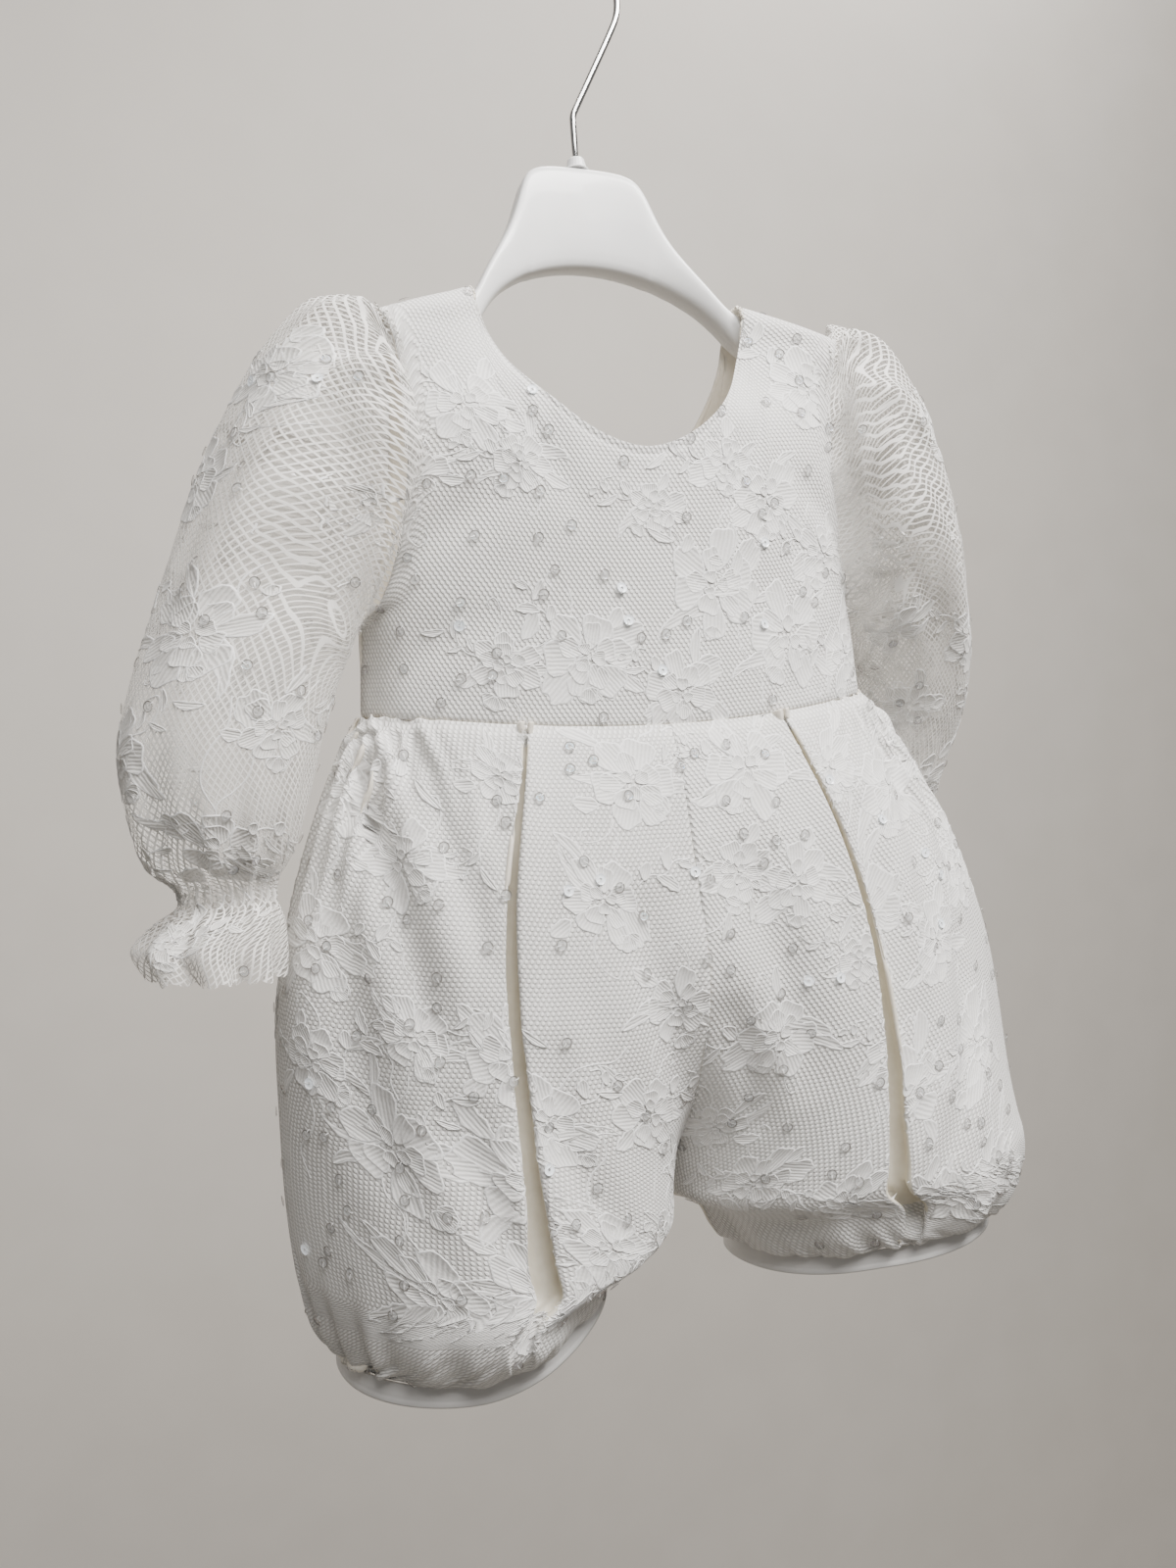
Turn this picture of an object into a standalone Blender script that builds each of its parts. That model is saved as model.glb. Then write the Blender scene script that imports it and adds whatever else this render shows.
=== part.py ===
"""Baby romper in white lace, hanging on a child's hanger.

Lengths are in millimetres and become metres when a mesh is made. The origin is the highest
point inside the hanger's hook, where a rod carries it. +X is the wearer's left, -Y the front
of the garment and +Z up. The cloth is a wall on rings and panels: a bodice, bubble shorts in
four panels, two leg bands and two puff sleeves with a frill below the wrist.
"""
import math

import bmesh
import bpy
import numpy as np

MM = 0.001
SEAM = 0.3              # room between two pieces that are sewn together
LACE = 1.4              # wall of lace over its lining
SLEEVE_LACE = 1.2       # wall of a sleeve

# Hook: a bent wire, its stem, one bend and a round top
WIRE = 3.1
HOOK_R = 24.0           # to the middle of the wire
HOOK_BEND_Z = -73.0
HOOK_BEND_R = 9.0
HOOK_TIP = 196.0        # degrees round the hook's middle, from +X
HOOK_STEPS = 18
STEM_Z = -84.0          # a point half way up the straight stem
BLOCK_TOP = -96.0
# Collar round the stem: radius, height above its foot
COLLAR = (
    (5.2, 0.0),
    (4.2, 0.9),
    (3.5, 4.1),
    (3.0, 4.7),
)
COLLAR_STEPS = 20

# Heights on the garment
NECK_Z = -156.0         # where the neckline leaves the shoulder seam
SHOULDER_Z = -171.0     # outer end of the shoulder seam
UNDERARM_Z = -282.0
WAIST_SIDE_Z = -317.0
WAIST_FRONT_Z = -328.0
WAIST_BACK_Z = -321.0
CROTCH_Z = -513.0
HEM_Z = -542.0

# Half widths on the garment
NECK_X = 57.0
SHOULDER_X = 97.0
UNDERARM_X = 105.0
WAIST_X = 107.5
ARMHOLE_IN = 12.0       # how far the armhole curves in from a straight line

FRONT_NECK_LOW = -222.5
BACK_NECK_LOW = -236.0
NECK_ROUND = 1.75       # below 2 the scoop is fuller at its sides
BODY_ROUND = 2.3        # above 2 the body is flatter front and back

HANGER_EDGE = 2.4       # cut along the edges of the block and arms
# Hanger arm: x from the middle, upper edge, lower edge, how far forward, half thickness
HANGER = (
    (0.0, -96.0, -138.0, 0.0, 6.5),
    (9.0, -96.2, -138.6, -0.3, 6.5),
    (17.0, -97.2, -140.2, -1.2, 6.5),
    (22.5, -99.5, -142.0, -2.2, 6.5),
    (25.8, -104.0, -143.3, -3.0, 6.5),
    (28.4, -110.5, -144.3, -3.6, 6.4),
    (31.5, -119.0, -146.0, -4.6, 6.3),
    (36.0, -128.0, -149.0, -6.4, 6.2),
    (42.0, -137.2, -153.8, -9.6, 6.0),
    (48.5, -147.4, -161.5, -13.8, 5.8),
    (53.5, -156.4, -169.6, -17.4, 5.6),
    (58.0, -160.6, -177.0, -20.0, 5.4),
    (66.0, -163.6, -181.0, -23.2, 5.4),
    (78.0, -168.0, -183.6, -26.6, 5.4),
    (89.0, -172.2, -185.6, -28.8, 5.3),
    (92.5, -174.0, -186.2, -29.4, 4.9),
    (94.0, -176.0, -185.2, -29.6, 4.2),
)

# Bodice: height, half width, side seam's depth, front depth and back depth from the side seam
BODICE = (
    (-150.0, 128.0, -28.0, 8.0, 8.0),
    (-171.0, 123.0, -26.5, 14.0, 11.5),
    (-200.0, 114.0, -18.5, 28.0, 17.5),
    (-230.0, 108.0, -12.0, 37.0, 19.5),
    (-258.0, 105.5, -9.0, 40.5, 20.5),
    (-282.0, 105.0, -8.0, 41.5, 21.0),
    (-317.0, 107.5, -8.0, 42.5, 22.0),
)
RIDGE = 9.0             # radius of the cloth over the hanger's arm

# Shorts: height, half width on the -X side, on the +X side, front depth, back depth, and how far
# the section has become two legs
SHORTS = (
    (-317.0, 107.5, 107.5, 42.5, 22.0, 0.0),
    (-323.0, 110.5, 111.0, 45.5, 24.0, 0.0),
    (-335.0, 116.0, 119.0, 50.0, 28.0, 0.0),
    (-358.0, 125.5, 133.0, 55.5, 32.5, 0.0),
    (-390.0, 136.5, 148.0, 60.0, 36.5, 0.0),
    (-425.0, 143.0, 158.5, 64.0, 40.0, 0.05),
    (-460.0, 144.5, 163.5, 66.5, 42.0, 0.28),
    (-490.0, 144.5, 166.5, 67.5, 43.0, 0.66),
    (-505.0, 143.5, 167.5, 67.5, 43.0, 0.86),
    (-513.0, 142.5, 168.0, 67.0, 43.0, 1.0),
    (-524.0, 140.0, 166.0, 65.5, 42.5, 1.0),
    (-534.0, 136.5, 158.0, 62.0, 41.0, 1.0),
    (-539.5, 133.5, 150.5, 57.5, 39.0, 1.0),
    (-542.0, 130.5, 142.0, 52.0, 35.5, 1.0),
)
LEG_GAP = (             # height, inside of the leg from the middle on the -X side, on the +X side
    (-513.0, 0.0, 0.0),
    (-518.0, 16.0, 10.0),
    (-524.0, 24.0, 17.0),
    (-534.0, 28.0, 23.0),
    (-539.5, 30.0, 27.5),
    (-542.0, 34.0, 34.0),
)
HANG_TILT = 6.0         # the hem on the -X side hangs this much lower, the other as much higher
INNER_RISE = {-1: 15.0, 1: -1.5}    # how much higher the hem is on the inside of each leg
PLEAT_AT = {-1: -0.69, 1: -0.735}   # across a front, from -1 at the middle to 0 at the side seam
PLEAT_DEEP = 9.0
PLEAT = (               # across a pleat from its middle, share of its depth
    (0.0, 1.0),
    (0.011, 0.82),
    (0.028, 0.06),
    (0.052, -0.12),
)
PLEAT_EDGE = PLEAT[-1][0]
FRONT_COLUMNS = (6, 15) # columns between the middle and the pleat, and from it to the side seam
BACK_COLUMNS = 22
GATHER = 2.4            # half the depth of the gathers at the waist
WAIST_GATHERS = {"front": 11, "back": 9}    # in a quarter of the waist
HEM_GATHER = 2.0
HEM_GATHERS = 9
SOFT_FOLD = 2.2         # long shallow folds down the shorts
SOFT_FOLDS = 1.6

BAND_TALL = 7.0
BAND_SEAM = 0.42        # a little more room, where the hem rises inside the legs
BAND_WALL = 1.6
BAND_FLARE = 2.5

# Sleeve: outer edge x and z, inner edge x and z, depth of the middle, half depth, and how far
# the front of the puff rolls over the bodice. The last three rows are the frill.
SLEEVE = (
    (103.0, -163.5, 109.0, -284.0, -19.0, 29.0, 18.0),
    (115.0, -166.0, 111.0, -287.0, -19.0, 33.0, 15.0),
    (129.5, -180.0, 112.0, -291.0, -18.0, 34.0, 8.0),
    (144.5, -204.5, 113.5, -297.0, -17.0, 34.5, 2.0),
    (158.0, -235.5, 115.0, -303.0, -16.0, 34.5, 0.0),
    (170.5, -270.0, 117.0, -310.0, -15.5, 34.0, 0.0),
    (182.0, -301.0, 120.5, -320.0, -15.0, 33.0, 0.0),
    (188.5, -325.0, 125.5, -335.0, -15.0, 31.0, 0.0),
    (187.0, -348.0, 131.0, -350.0, -15.0, 27.0, 0.0),
    (181.0, -364.5, 137.0, -364.0, -15.0, 20.5, 0.0),
    (172.5, -374.0, 142.5, -373.0, -15.0, 13.0, 0.0),
    (172.5, -378.5, 143.0, -378.5, -15.0, 12.5, 0.0),
    (180.5, -385.0, 141.5, -386.5, -15.0, 18.0, 0.0),
    (187.0, -392.5, 142.0, -396.0, -15.0, 23.0, 0.0),
    (182.0, -402.0, 144.0, -405.0, -15.0, 24.0, 0.0),
)
SLEEVE_ROUND = 36       # points round a sleeve
SLEEVE_ROLL = 3         # how sharply the roll over the bodice keeps to the front
CUFF_ROW = 11
# Rows that the gathers fade over, how many there are round a sleeve, and their depth
CAP_ROWS, CAP_GATHERS, CAP_DEEP = 5, 12, 2.6
WRIST_ROWS, WRIST_GATHERS, WRIST_DEEP = 4, 13, 1.5
FRILL_WAVES, FRILL_DEEP = 8, 5.5
ARMHOLE_SEAM = 0.45
SIDES = {"right": -1, "left": 1}
# How each sleeve swings from its armhole: forward at the wrist, out from the body half way down
# and at the wrist, and what share of the roll over the bodice it has
SWING = {"right": (12.0, 2.0, 4.0, 1.0), "left": (-52.0, 9.0, -6.0, 0.3)}


def column(table, position):
    return np.array([row[position] for row in table])


def smooth(table, position, at):
    """Read one column of a table at a height or a distance, along a smooth curve."""
    xs = column(table, 0)
    ys = column(table, position)
    if xs[0] > xs[-1]:
        xs, ys = xs[::-1], ys[::-1]
    slope = np.diff(ys) / np.diff(xs)
    mid = np.zeros(len(xs))
    same = slope[:-1] * slope[1:] > 0
    mean = 2 * slope[:-1] * slope[1:] / np.where(same, slope[:-1] + slope[1:], 1.0)
    mid[1:-1] = np.where(same, mean, 0.0)
    mid[0], mid[-1] = slope[0], slope[-1]
    at = np.clip(at, xs[0], xs[-1])
    i = min(int(np.searchsorted(xs, at, side="right")) - 1, len(xs) - 2)
    h = xs[i + 1] - xs[i]
    t = (at - xs[i]) / h
    rise = (2 * t ** 3 - 3 * t ** 2 + 1) * ys[i] + (3 * t ** 2 - 2 * t ** 3) * ys[i + 1]
    return rise + h * ((t ** 3 - 2 * t ** 2 + t) * mid[i] + (t ** 3 - t ** 2) * mid[i + 1])


def ease(value):
    t = min(max(value, 0.0), 1.0)
    return t * t * (3 - 2 * t)


def material(name, colour, roughness, metallic=0.0):
    made = bpy.data.materials.new(name)
    made.use_nodes = True
    shader = made.node_tree.nodes["Principled BSDF"]
    shader.inputs["Base Color"].default_value = (*colour, 1.0)
    shader.inputs["Roughness"].default_value = roughness
    shader.inputs["Metallic"].default_value = metallic
    return made


def add_object(name, mesh, finish):
    mesh.materials.append(finish)
    made = bpy.data.objects.new(name, mesh)
    bpy.context.scene.collection.objects.link(made)
    return made


def grid_normals(points, around):
    """Unit normals of a grid of points, rows by columns; around joins the last column to the first."""
    if around:
        across = np.roll(points, -1, axis=1) - np.roll(points, 1, axis=1)
    else:
        across = np.gradient(points, axis=1)
    along = np.gradient(points, axis=0)
    normal = np.cross(across, along)
    return normal / np.maximum(np.linalg.norm(normal, axis=2, keepdims=True), 1e-9)


def wall(name, outer, normals, thick, finish, around=False):
    """A closed wall of cloth: its outer points, the same points moved in, and its rims."""
    rows, cols, _ = outer.shape
    inner = outer - normals * thick
    bm = bmesh.new()
    skins = []
    for skin in (outer, inner):
        skins.append([[bm.verts.new(skin[r, c] * MM) for c in range(cols)] for r in range(rows)])
    out, back = skins
    steps = cols if around else cols - 1
    for r in range(rows - 1):
        for c in range(steps):
            d = (c + 1) % cols
            bm.faces.new((out[r][c], out[r][d], out[r + 1][d], out[r + 1][c]))
            bm.faces.new((back[r][c], back[r + 1][c], back[r + 1][d], back[r][d]))
    for c in range(steps):
        d = (c + 1) % cols
        bm.faces.new((out[0][d], out[0][c], back[0][c], back[0][d]))
        bm.faces.new((out[-1][c], out[-1][d], back[-1][d], back[-1][c]))
    if not around:
        for r in range(rows - 1):
            bm.faces.new((out[r][0], out[r + 1][0], back[r + 1][0], back[r][0]))
            bm.faces.new((out[r + 1][-1], out[r][-1], back[r][-1], back[r + 1][-1]))
    bmesh.ops.recalc_face_normals(bm, faces=bm.faces)
    mesh = bpy.data.meshes.new(name)
    bm.to_mesh(mesh)
    bm.free()
    mesh.shade_smooth()
    mesh.set_sharp_from_angle(angle=math.radians(50))
    return add_object(name, mesh, finish)


def loft(name, rings, finish):
    """A solid through closed rings of points, with both ends filled."""
    bm = bmesh.new()
    made = [[bm.verts.new(point * MM) for point in ring] for ring in rings]
    count = len(rings[0])
    for one, two in zip(made, made[1:]):
        for c in range(count):
            d = (c + 1) % count
            bm.faces.new((one[c], one[d], two[d], two[c]))
    bm.faces.new(made[0])
    bm.faces.new(made[-1])
    bmesh.ops.recalc_face_normals(bm, faces=bm.faces)
    mesh = bpy.data.meshes.new(name)
    bm.to_mesh(mesh)
    bm.free()
    mesh.shade_smooth()
    mesh.set_sharp_from_angle(angle=math.radians(40))
    return add_object(name, mesh, finish)


# Hanger


def hanger_section(x):
    """One rounded section of the hanger's block and arms, at x from its middle."""
    side = abs(x)
    top, low = smooth(HANGER, 1, side), smooth(HANGER, 2, side)
    forward, half = smooth(HANGER, 3, side), smooth(HANGER, 4, side)
    cut = min(HANGER_EDGE, 0.45 * half)
    outline = (
        (-half + cut, top), (half - cut, top), (half, top - cut), (half, low + cut),
        (half - cut, low), (-half + cut, low), (-half, low + cut), (-half, top - cut),
    )
    return [np.array((x, forward + y, z)) for y, z in outline]


def make_hanger(plastic, chrome):
    stations = column(HANGER, 0)
    xs = [*(-stations[:0:-1]), *stations]
    loft("hanger_body", [hanger_section(x) for x in xs], plastic)

    bm = bmesh.new()
    bore = WIRE / 2 + SEAM
    foot = BLOCK_TOP + SEAM
    profile = [(bore, COLLAR[0][1]), *COLLAR, (bore, COLLAR[-1][1])]
    verts = [bm.verts.new((r * MM, 0.0, (foot + up) * MM)) for r, up in profile]
    edges = [bm.edges.new((verts[i], verts[(i + 1) % len(verts)])) for i in range(len(verts))]
    bmesh.ops.spin(
        bm, geom=verts + edges, cent=(0, 0, 0), axis=(0, 0, 1), angle=math.tau,
        steps=COLLAR_STEPS, use_merge=True,
    )
    bmesh.ops.remove_doubles(bm, verts=bm.verts, dist=0.00001)
    bmesh.ops.recalc_face_normals(bm, faces=bm.faces)
    mesh = bpy.data.meshes.new("hanger_collar")
    bm.to_mesh(mesh)
    bm.free()
    mesh.shade_smooth()
    mesh.set_sharp_from_angle(angle=math.radians(40))
    add_object("hanger_collar", mesh, plastic)

    make_hook(chrome)


def hook_path():
    """The wire's middle line: stem, bend, slanting run and round top."""
    centre_z = WIRE / 2 - HOOK_R
    reach = centre_z - HOOK_BEND_Z
    lean = math.asin(HOOK_R / reach)
    cut = HOOK_BEND_R * math.tan(lean / 2)
    points = [(0.0, BLOCK_TOP + SEAM), (0.0, STEM_Z)]
    for i in range(5):
        turn = lean * i / 4
        x = HOOK_BEND_R * (1 - math.cos(turn))
        z = HOOK_BEND_Z - cut + HOOK_BEND_R * math.sin(turn)
        points.append((x, z))
    for i in range(HOOK_STEPS + 1):
        turn = (math.radians(HOOK_TIP) + lean) * i / HOOK_STEPS - lean
        points.append((HOOK_R * math.cos(turn), centre_z + HOOK_R * math.sin(turn)))
    return points


def make_hook(chrome):
    points = hook_path()
    curve = bpy.data.curves.new("hanger_hook", "CURVE")
    curve.dimensions = "3D"
    curve.bevel_depth = WIRE / 2 * MM
    curve.bevel_resolution = 2
    curve.use_fill_caps = True
    spline = curve.splines.new("POLY")
    spline.points.add(len(points) - 1)
    for point, (x, z) in zip(spline.points, points):
        point.co = (x * MM, 0.0, z * MM, 1.0)
    spline.use_smooth = True
    add_object("hanger_hook", curve, chrome)


# Bodice


def superellipse(share):
    """Depth of the body, as a share of its full depth, at a share of its half width."""
    return max(1 - min(abs(share), 1.0) ** BODY_ROUND, 0.0) ** (1 / BODY_ROUND)


def shoulder_z(x):
    """Height of the shoulder seam, a straight line from the neck to the armhole."""
    along = (abs(x) - NECK_X) / (SHOULDER_X - NECK_X)
    return NECK_Z + (SHOULDER_Z - NECK_Z) * along


def body_y(x, z, face):
    """Depth of the bodice's outer side; face is -1 at the front and 1 at the back."""
    wide = smooth(BODICE, 1, z)
    seam = smooth(BODICE, 2, z)
    deep = smooth(BODICE, 3 if face < 0 else 4, z)
    below = max(shoulder_z(x) - z, 0.0)
    over_arm = math.sqrt(max(1 - (1 - min(below / RIDGE, 1.0)) ** 2, 0.0))
    fall = ease((below - 2.0) / 60.0)
    ridge = smooth(HANGER, 3, abs(x))
    full = seam + face * deep * superellipse(x / wide)
    near = ridge + face * RIDGE * over_arm
    return near * (1 - fall) + full * fall


def neckline(turn, low):
    """A point of the scoop; turn is 0 at its lowest point and 1 at the +X shoulder seam."""
    angle = math.pi / 2 * abs(turn)
    power = 2 / NECK_ROUND
    x = NECK_X * math.sin(angle) ** power * (1 if turn > 0 else -1)
    z = NECK_Z - (NECK_Z - low) * math.cos(angle) ** power
    return np.array((x, z))


def armhole(along):
    """A point of the armhole, x and z; along is 0 at the underarm and 1 at the shoulder."""
    turn = math.pi * (1 - along)
    z = UNDERARM_Z + (SHOULDER_Z - UNDERARM_Z) * (1 + math.cos(turn)) / 2
    x = UNDERARM_X + (SHOULDER_X - UNDERARM_X) * (1 + math.cos(turn)) / 2
    return np.array((x - ARMHOLE_IN * math.sin(turn) ** 1.3, z))


def waist_z(x, face):
    """Height of the waist seam, which dips towards its middle."""
    low = WAIST_FRONT_Z if face < 0 else WAIST_BACK_Z
    return WAIST_SIDE_Z + (low - WAIST_SIDE_Z) * (1 - min(abs(x) / WAIST_X, 1.0) ** 2)


BODICE_ROWS = (0.0, 0.12, 0.26, 0.36, 0.46, 0.57, 0.68, 0.79, 0.88, 0.945, 0.978, 0.993, 1.0)
UNDERARM_ROW = 2
# Columns of half a panel that end on the neckline, from its lowest point to the shoulder seam
NECK_COLUMNS = (0.0, 0.15, 0.3, 0.44, 0.57, 0.69, 0.8, 0.89, 0.95, 0.98, 1.0)
SHOULDER_COLUMNS = 4


def side_edge(row):
    """The side edge of a bodice panel: the side seam, then the armhole."""
    v = BODICE_ROWS[row]
    under = BODICE_ROWS[UNDERARM_ROW]
    if row <= UNDERARM_ROW:
        share = v / under
        x = WAIST_X + (UNDERARM_X - WAIST_X) * share
        return np.array((x, WAIST_SIDE_Z + (UNDERARM_Z - WAIST_SIDE_Z) * share))
    return armhole((v - under) / (1 - under))


def half_bodice(face, low):
    """Points of half a bodice panel on the +X side, from the middle out, in x and z."""
    tops = [neckline(turn, low) for turn in NECK_COLUMNS]
    for i in range(1, SHOULDER_COLUMNS + 1):
        x = NECK_X + (SHOULDER_X - NECK_X) * i / SHOULDER_COLUMNS
        tops.append(np.array((x, shoulder_z(x))))
    grid = np.zeros((len(BODICE_ROWS), len(tops), 2))
    last = len(BODICE_ROWS) - 1
    for c, top in enumerate(tops):
        u = top[0] / SHOULDER_X
        x_low = WAIST_X * (0.2 * c / (len(tops) - 1) + 0.8 * u)
        foot = np.array((x_low, waist_z(x_low, face)))
        for r, v in enumerate(BODICE_ROWS):
            straight_side = side_edge(0) * (1 - v) + side_edge(last) * v
            bulge = (side_edge(r) - straight_side) * u ** 2
            grid[r, c] = foot * (1 - v) + top * v + bulge
    return grid


def lift_bodice(flat, face):
    """Turn x and z into points in space, and keep the sewn edges SEAM apart."""
    rows, cols, _ = flat.shape
    points = np.zeros((rows, cols, 3))
    for r in range(rows):
        for c in range(cols):
            x, z = flat[r, c]
            y = body_y(x, z, face)
            points[r, c] = (x, y, z)
    points[0, :, 2] += SEAM / 2
    return points


def fix_edges(points, normals, face):
    """Part the front from the back along the side and shoulder seams."""
    side_rows = range(UNDERARM_ROW + 1)
    for c in (0, -1):
        for r in side_rows:
            if abs(points[r, c, 0]) > 10:
                points[r, c, 1] += face * SEAM / 2
                normals[r, c] = (math.copysign(1.0, points[r, c, 0]), 0, 0)
    for c in range(points.shape[1]):
        normals[0, c, 2] = 0
        if abs(points[-1, c, 0]) >= NECK_X - 0.01:
            points[-1, c, 1] += face * SEAM / 2
            normals[-1, c, 1] = 0
    normals /= np.linalg.norm(normals, axis=2, keepdims=True)
    return points, normals


def make_bodice(lace):
    edges = {}
    half = half_bodice(-1, FRONT_NECK_LOW)
    mirrored = half[:, :0:-1] * np.array((-1, 1))
    points = lift_bodice(np.concatenate([mirrored, half], axis=1), -1)
    points, normals = fix_edges(points, grid_normals(points, False), -1)
    wall("bodice_front", points, normals, LACE, lace)
    edges["front"] = {"right": points[UNDERARM_ROW:, 0], "left": points[UNDERARM_ROW:, -1]}

    edges["back"] = {}
    half = half_bodice(1, BACK_NECK_LOW)
    for name, side in SIDES.items():
        flat = half * np.array((side, 1))
        points = lift_bodice(flat, 1)
        points[:, 0, 0] = side * SEAM / 2
        normals = grid_normals(points, False) * -side
        normals[:, 0, 0] = 0
        points, normals = fix_edges(points, normals, 1)
        wall("bodice_back_" + name, points, normals, LACE, lace)
        edges["back"][name] = points[UNDERARM_ROW:, -1]
    return edges


# Shorts


def shorts_columns(side):
    """Places across half the shorts: -1 front middle, 0 side seam, 1 back middle."""
    pleat = PLEAT_AT[side]
    inner, outer = pleat - PLEAT_EDGE, pleat + PLEAT_EDGE
    before, after = FRONT_COLUMNS
    lips = column(PLEAT, 0)
    front = [-1 + (inner + 1) * i / before for i in range(before)]
    front += [pleat + lip for lip in (*-lips[:0:-1], *lips)]
    front += [outer * (1 - i / after) for i in range(1, after)]
    back = [i / BACK_COLUMNS for i in range(1, BACK_COLUMNS + 1)]
    return front, back


def shorts_point(t, z, side):
    """A point of the shorts without folds; side is -1 or 1."""
    wide = smooth(SHORTS, 1 if side < 0 else 2, z)
    front, back = smooth(SHORTS, 3, z), smooth(SHORTS, 4, z)
    legs = smooth(SHORTS, 5, z)
    seam = smooth(BODICE, 2, WAIST_SIDE_Z)
    deep = front if t < 0 else back
    angle = math.pi / 2 * abs(t)
    power = 2 / BODY_ROUND
    hips = np.array((
        wide * math.cos(angle) ** power,
        seam + math.copysign(deep, t) * math.sin(angle) ** power,
    ))
    gap = smooth(LEG_GAP, 1 if side < 0 else 2, z)
    middle, half = (wide + gap) / 2, (wide - gap) / 2
    turn = math.pi * abs(t) ** 1.9
    leg = np.array((
        middle + half * math.cos(turn),
        seam + math.copysign(deep, t) * math.sin(turn) ** 0.92 if 0 < abs(t) < 1 else seam,
    ))
    x, y = hips * (1 - legs) + leg * legs
    return np.array((side * x, y, z))


def hang(point):
    """Tilt the lower half of the shorts a little, as they hang, and raise the hem inside the legs."""
    x, z = point[0], point[2]
    tilt = HANG_TILT * ease((-430.0 - z) / 100.0) * min(max(x / 70.0, -1.0), 1.0)
    rise = INNER_RISE[-1 if x < 0 else 1] * ease((CROTCH_Z - z) / 29.0) * ease((98.0 - abs(x)) / 76.0)
    return point + np.array((0.0, 0.0, tilt + rise))


def pleat_profile(away):
    """Depth of the pleat across it: flat lips, steep sides and a narrow floor."""
    return float(np.interp(abs(away), column(PLEAT, 0), column(PLEAT, 1)))


def fold_depth(t, z, side):
    """How far the cloth goes in at a place, from the pleats and gathers."""
    below = WAIST_SIDE_Z - z
    above = z - HEM_Z
    pleat = 0.0
    spread = 1.0
    puckers = WAIST_GATHERS["front" if t < 0 else "back"]
    if t < 0:
        profile = pleat_profile(t - PLEAT_AT[side])
        pleat = PLEAT_DEEP * profile * ease(below / 35.0) * ease(above / 16.0)
        spread = ease((t + 0.52) / 0.14)
    wave = math.cos(math.tau * puckers * abs(t) + 0.6)
    top = GATHER * spread * wave * ease(below / 9.0) * (1 - ease((below - 14.0) / 75.0))
    soft = SOFT_FOLD * math.sin(math.tau * (SOFT_FOLDS * abs(t) + 0.15)) * ease(below / 60.0)
    ripple = math.cos(math.tau * HEM_GATHERS * abs(t) ** 1.3)
    hem = HEM_GATHER * ripple * (1 - ease((above - 3.0) / 34.0))
    return pleat + top + (soft + hem) * ease(above / 4.0) * ease(below / 20.0)


def shorts_grid(side, columns):
    heights = column(SHORTS, 0)
    grid = np.zeros((len(heights), len(columns), 3))
    for r, z in enumerate(heights):
        for c, t in enumerate(columns):
            grid[r, c] = shorts_point(t, z, side)
    normals = grid_normals(grid, False) * side
    crotch = [i for i, z in enumerate(heights) if z <= CROTCH_Z]
    for r in range(len(heights)):
        if r in crotch:
            both = normals[r, 0] + normals[r, -1]
            normals[r, 0] = normals[r, -1] = both / np.linalg.norm(both)
        else:
            for c in (0, -1):
                normals[r, c, 0] = 0
                normals[r, c] /= np.linalg.norm(normals[r, c])
    sideways = normals * np.array((1.0, 1.0, 0.0))
    sideways /= np.linalg.norm(sideways, axis=2, keepdims=True)
    for r, z in enumerate(heights):
        for c, t in enumerate(columns):
            grid[r, c] -= sideways[r, c] * fold_depth(t, z, side)
    for c, t in enumerate(columns):
        dip = waist_z(grid[0, c, 0], -1 if t < 0 else 1) - WAIST_SIDE_Z
        for r, z in enumerate(heights):
            grid[r, c, 2] += dip * (1 - ease((WAIST_SIDE_Z - z) / 90.0))
    for r in range(len(heights)):
        for c in range(len(columns)):
            grid[r, c] = hang(grid[r, c])
    grid[0, :, 2] -= SEAM / 2
    folded = grid_normals(grid, False) * side
    folded[0, :, 2] = np.maximum(folded[0, :, 2], 0)
    folded[-1, :, 2] = 0
    return grid, folded, crotch


def make_shorts(lace):
    hems = {}
    for name, side in SIDES.items():
        front, back = shorts_columns(side)
        columns = front + [0.0] + back
        seam_at = len(front)
        grid, normals, crotch = shorts_grid(side, columns)
        for r in range(grid.shape[0]):
            if r in crotch:
                both = normals[r, 0] + normals[r, -1]
                normals[r, 0] = normals[r, -1] = both
                grid[r, 0, 1] -= SEAM / 2
                grid[r, -1, 1] += SEAM / 2
            else:
                for c in (0, -1):
                    normals[r, c, 0] = side * min(side * normals[r, c, 0], 0.0)
        normals[:, seam_at, 1] = 0
        normals /= np.linalg.norm(normals, axis=2, keepdims=True)
        keep_off = side * SEAM / 2
        for c in (0, -1):
            grid[:, c, 0] = side * np.maximum(side * grid[:, c, 0], side * keep_off)
        hems[name] = grid[-1].copy()
        for part, cut in (("front", slice(0, seam_at + 1)), ("back", slice(seam_at, None))):
            panel = grid[:, cut].copy()
            edge, apart = (-1, -1) if part == "front" else (0, 1)
            panel[:, edge, 1] += apart * SEAM / 2
            wall("shorts_" + part + "_" + name, panel, normals[:, cut], LACE, lace)
    return hems


def make_bands(hems, cotton):
    """Leg bands: smooth tubes below the gathered hems."""
    for name, side in SIDES.items():
        loop = hems[name][:-1]
        out = (loop - loop.mean(axis=0)) * np.array((1.0, 1.0, 0.0))
        out /= np.linalg.norm(out, axis=1, keepdims=True)
        top = loop - np.array((0.0, 0.0, BAND_SEAM))
        foot = loop + out * BAND_FLARE - np.array((0.0, 0.0, BAND_TALL))
        grid = np.array([top, foot])
        normals = grid_normals(grid, True) * side
        normals[:, :, 2] = 0
        normals /= np.linalg.norm(normals, axis=2, keepdims=True)
        wall("leg_band_" + name, grid, normals, BAND_WALL, cotton, around=True)


# Sleeves


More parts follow.
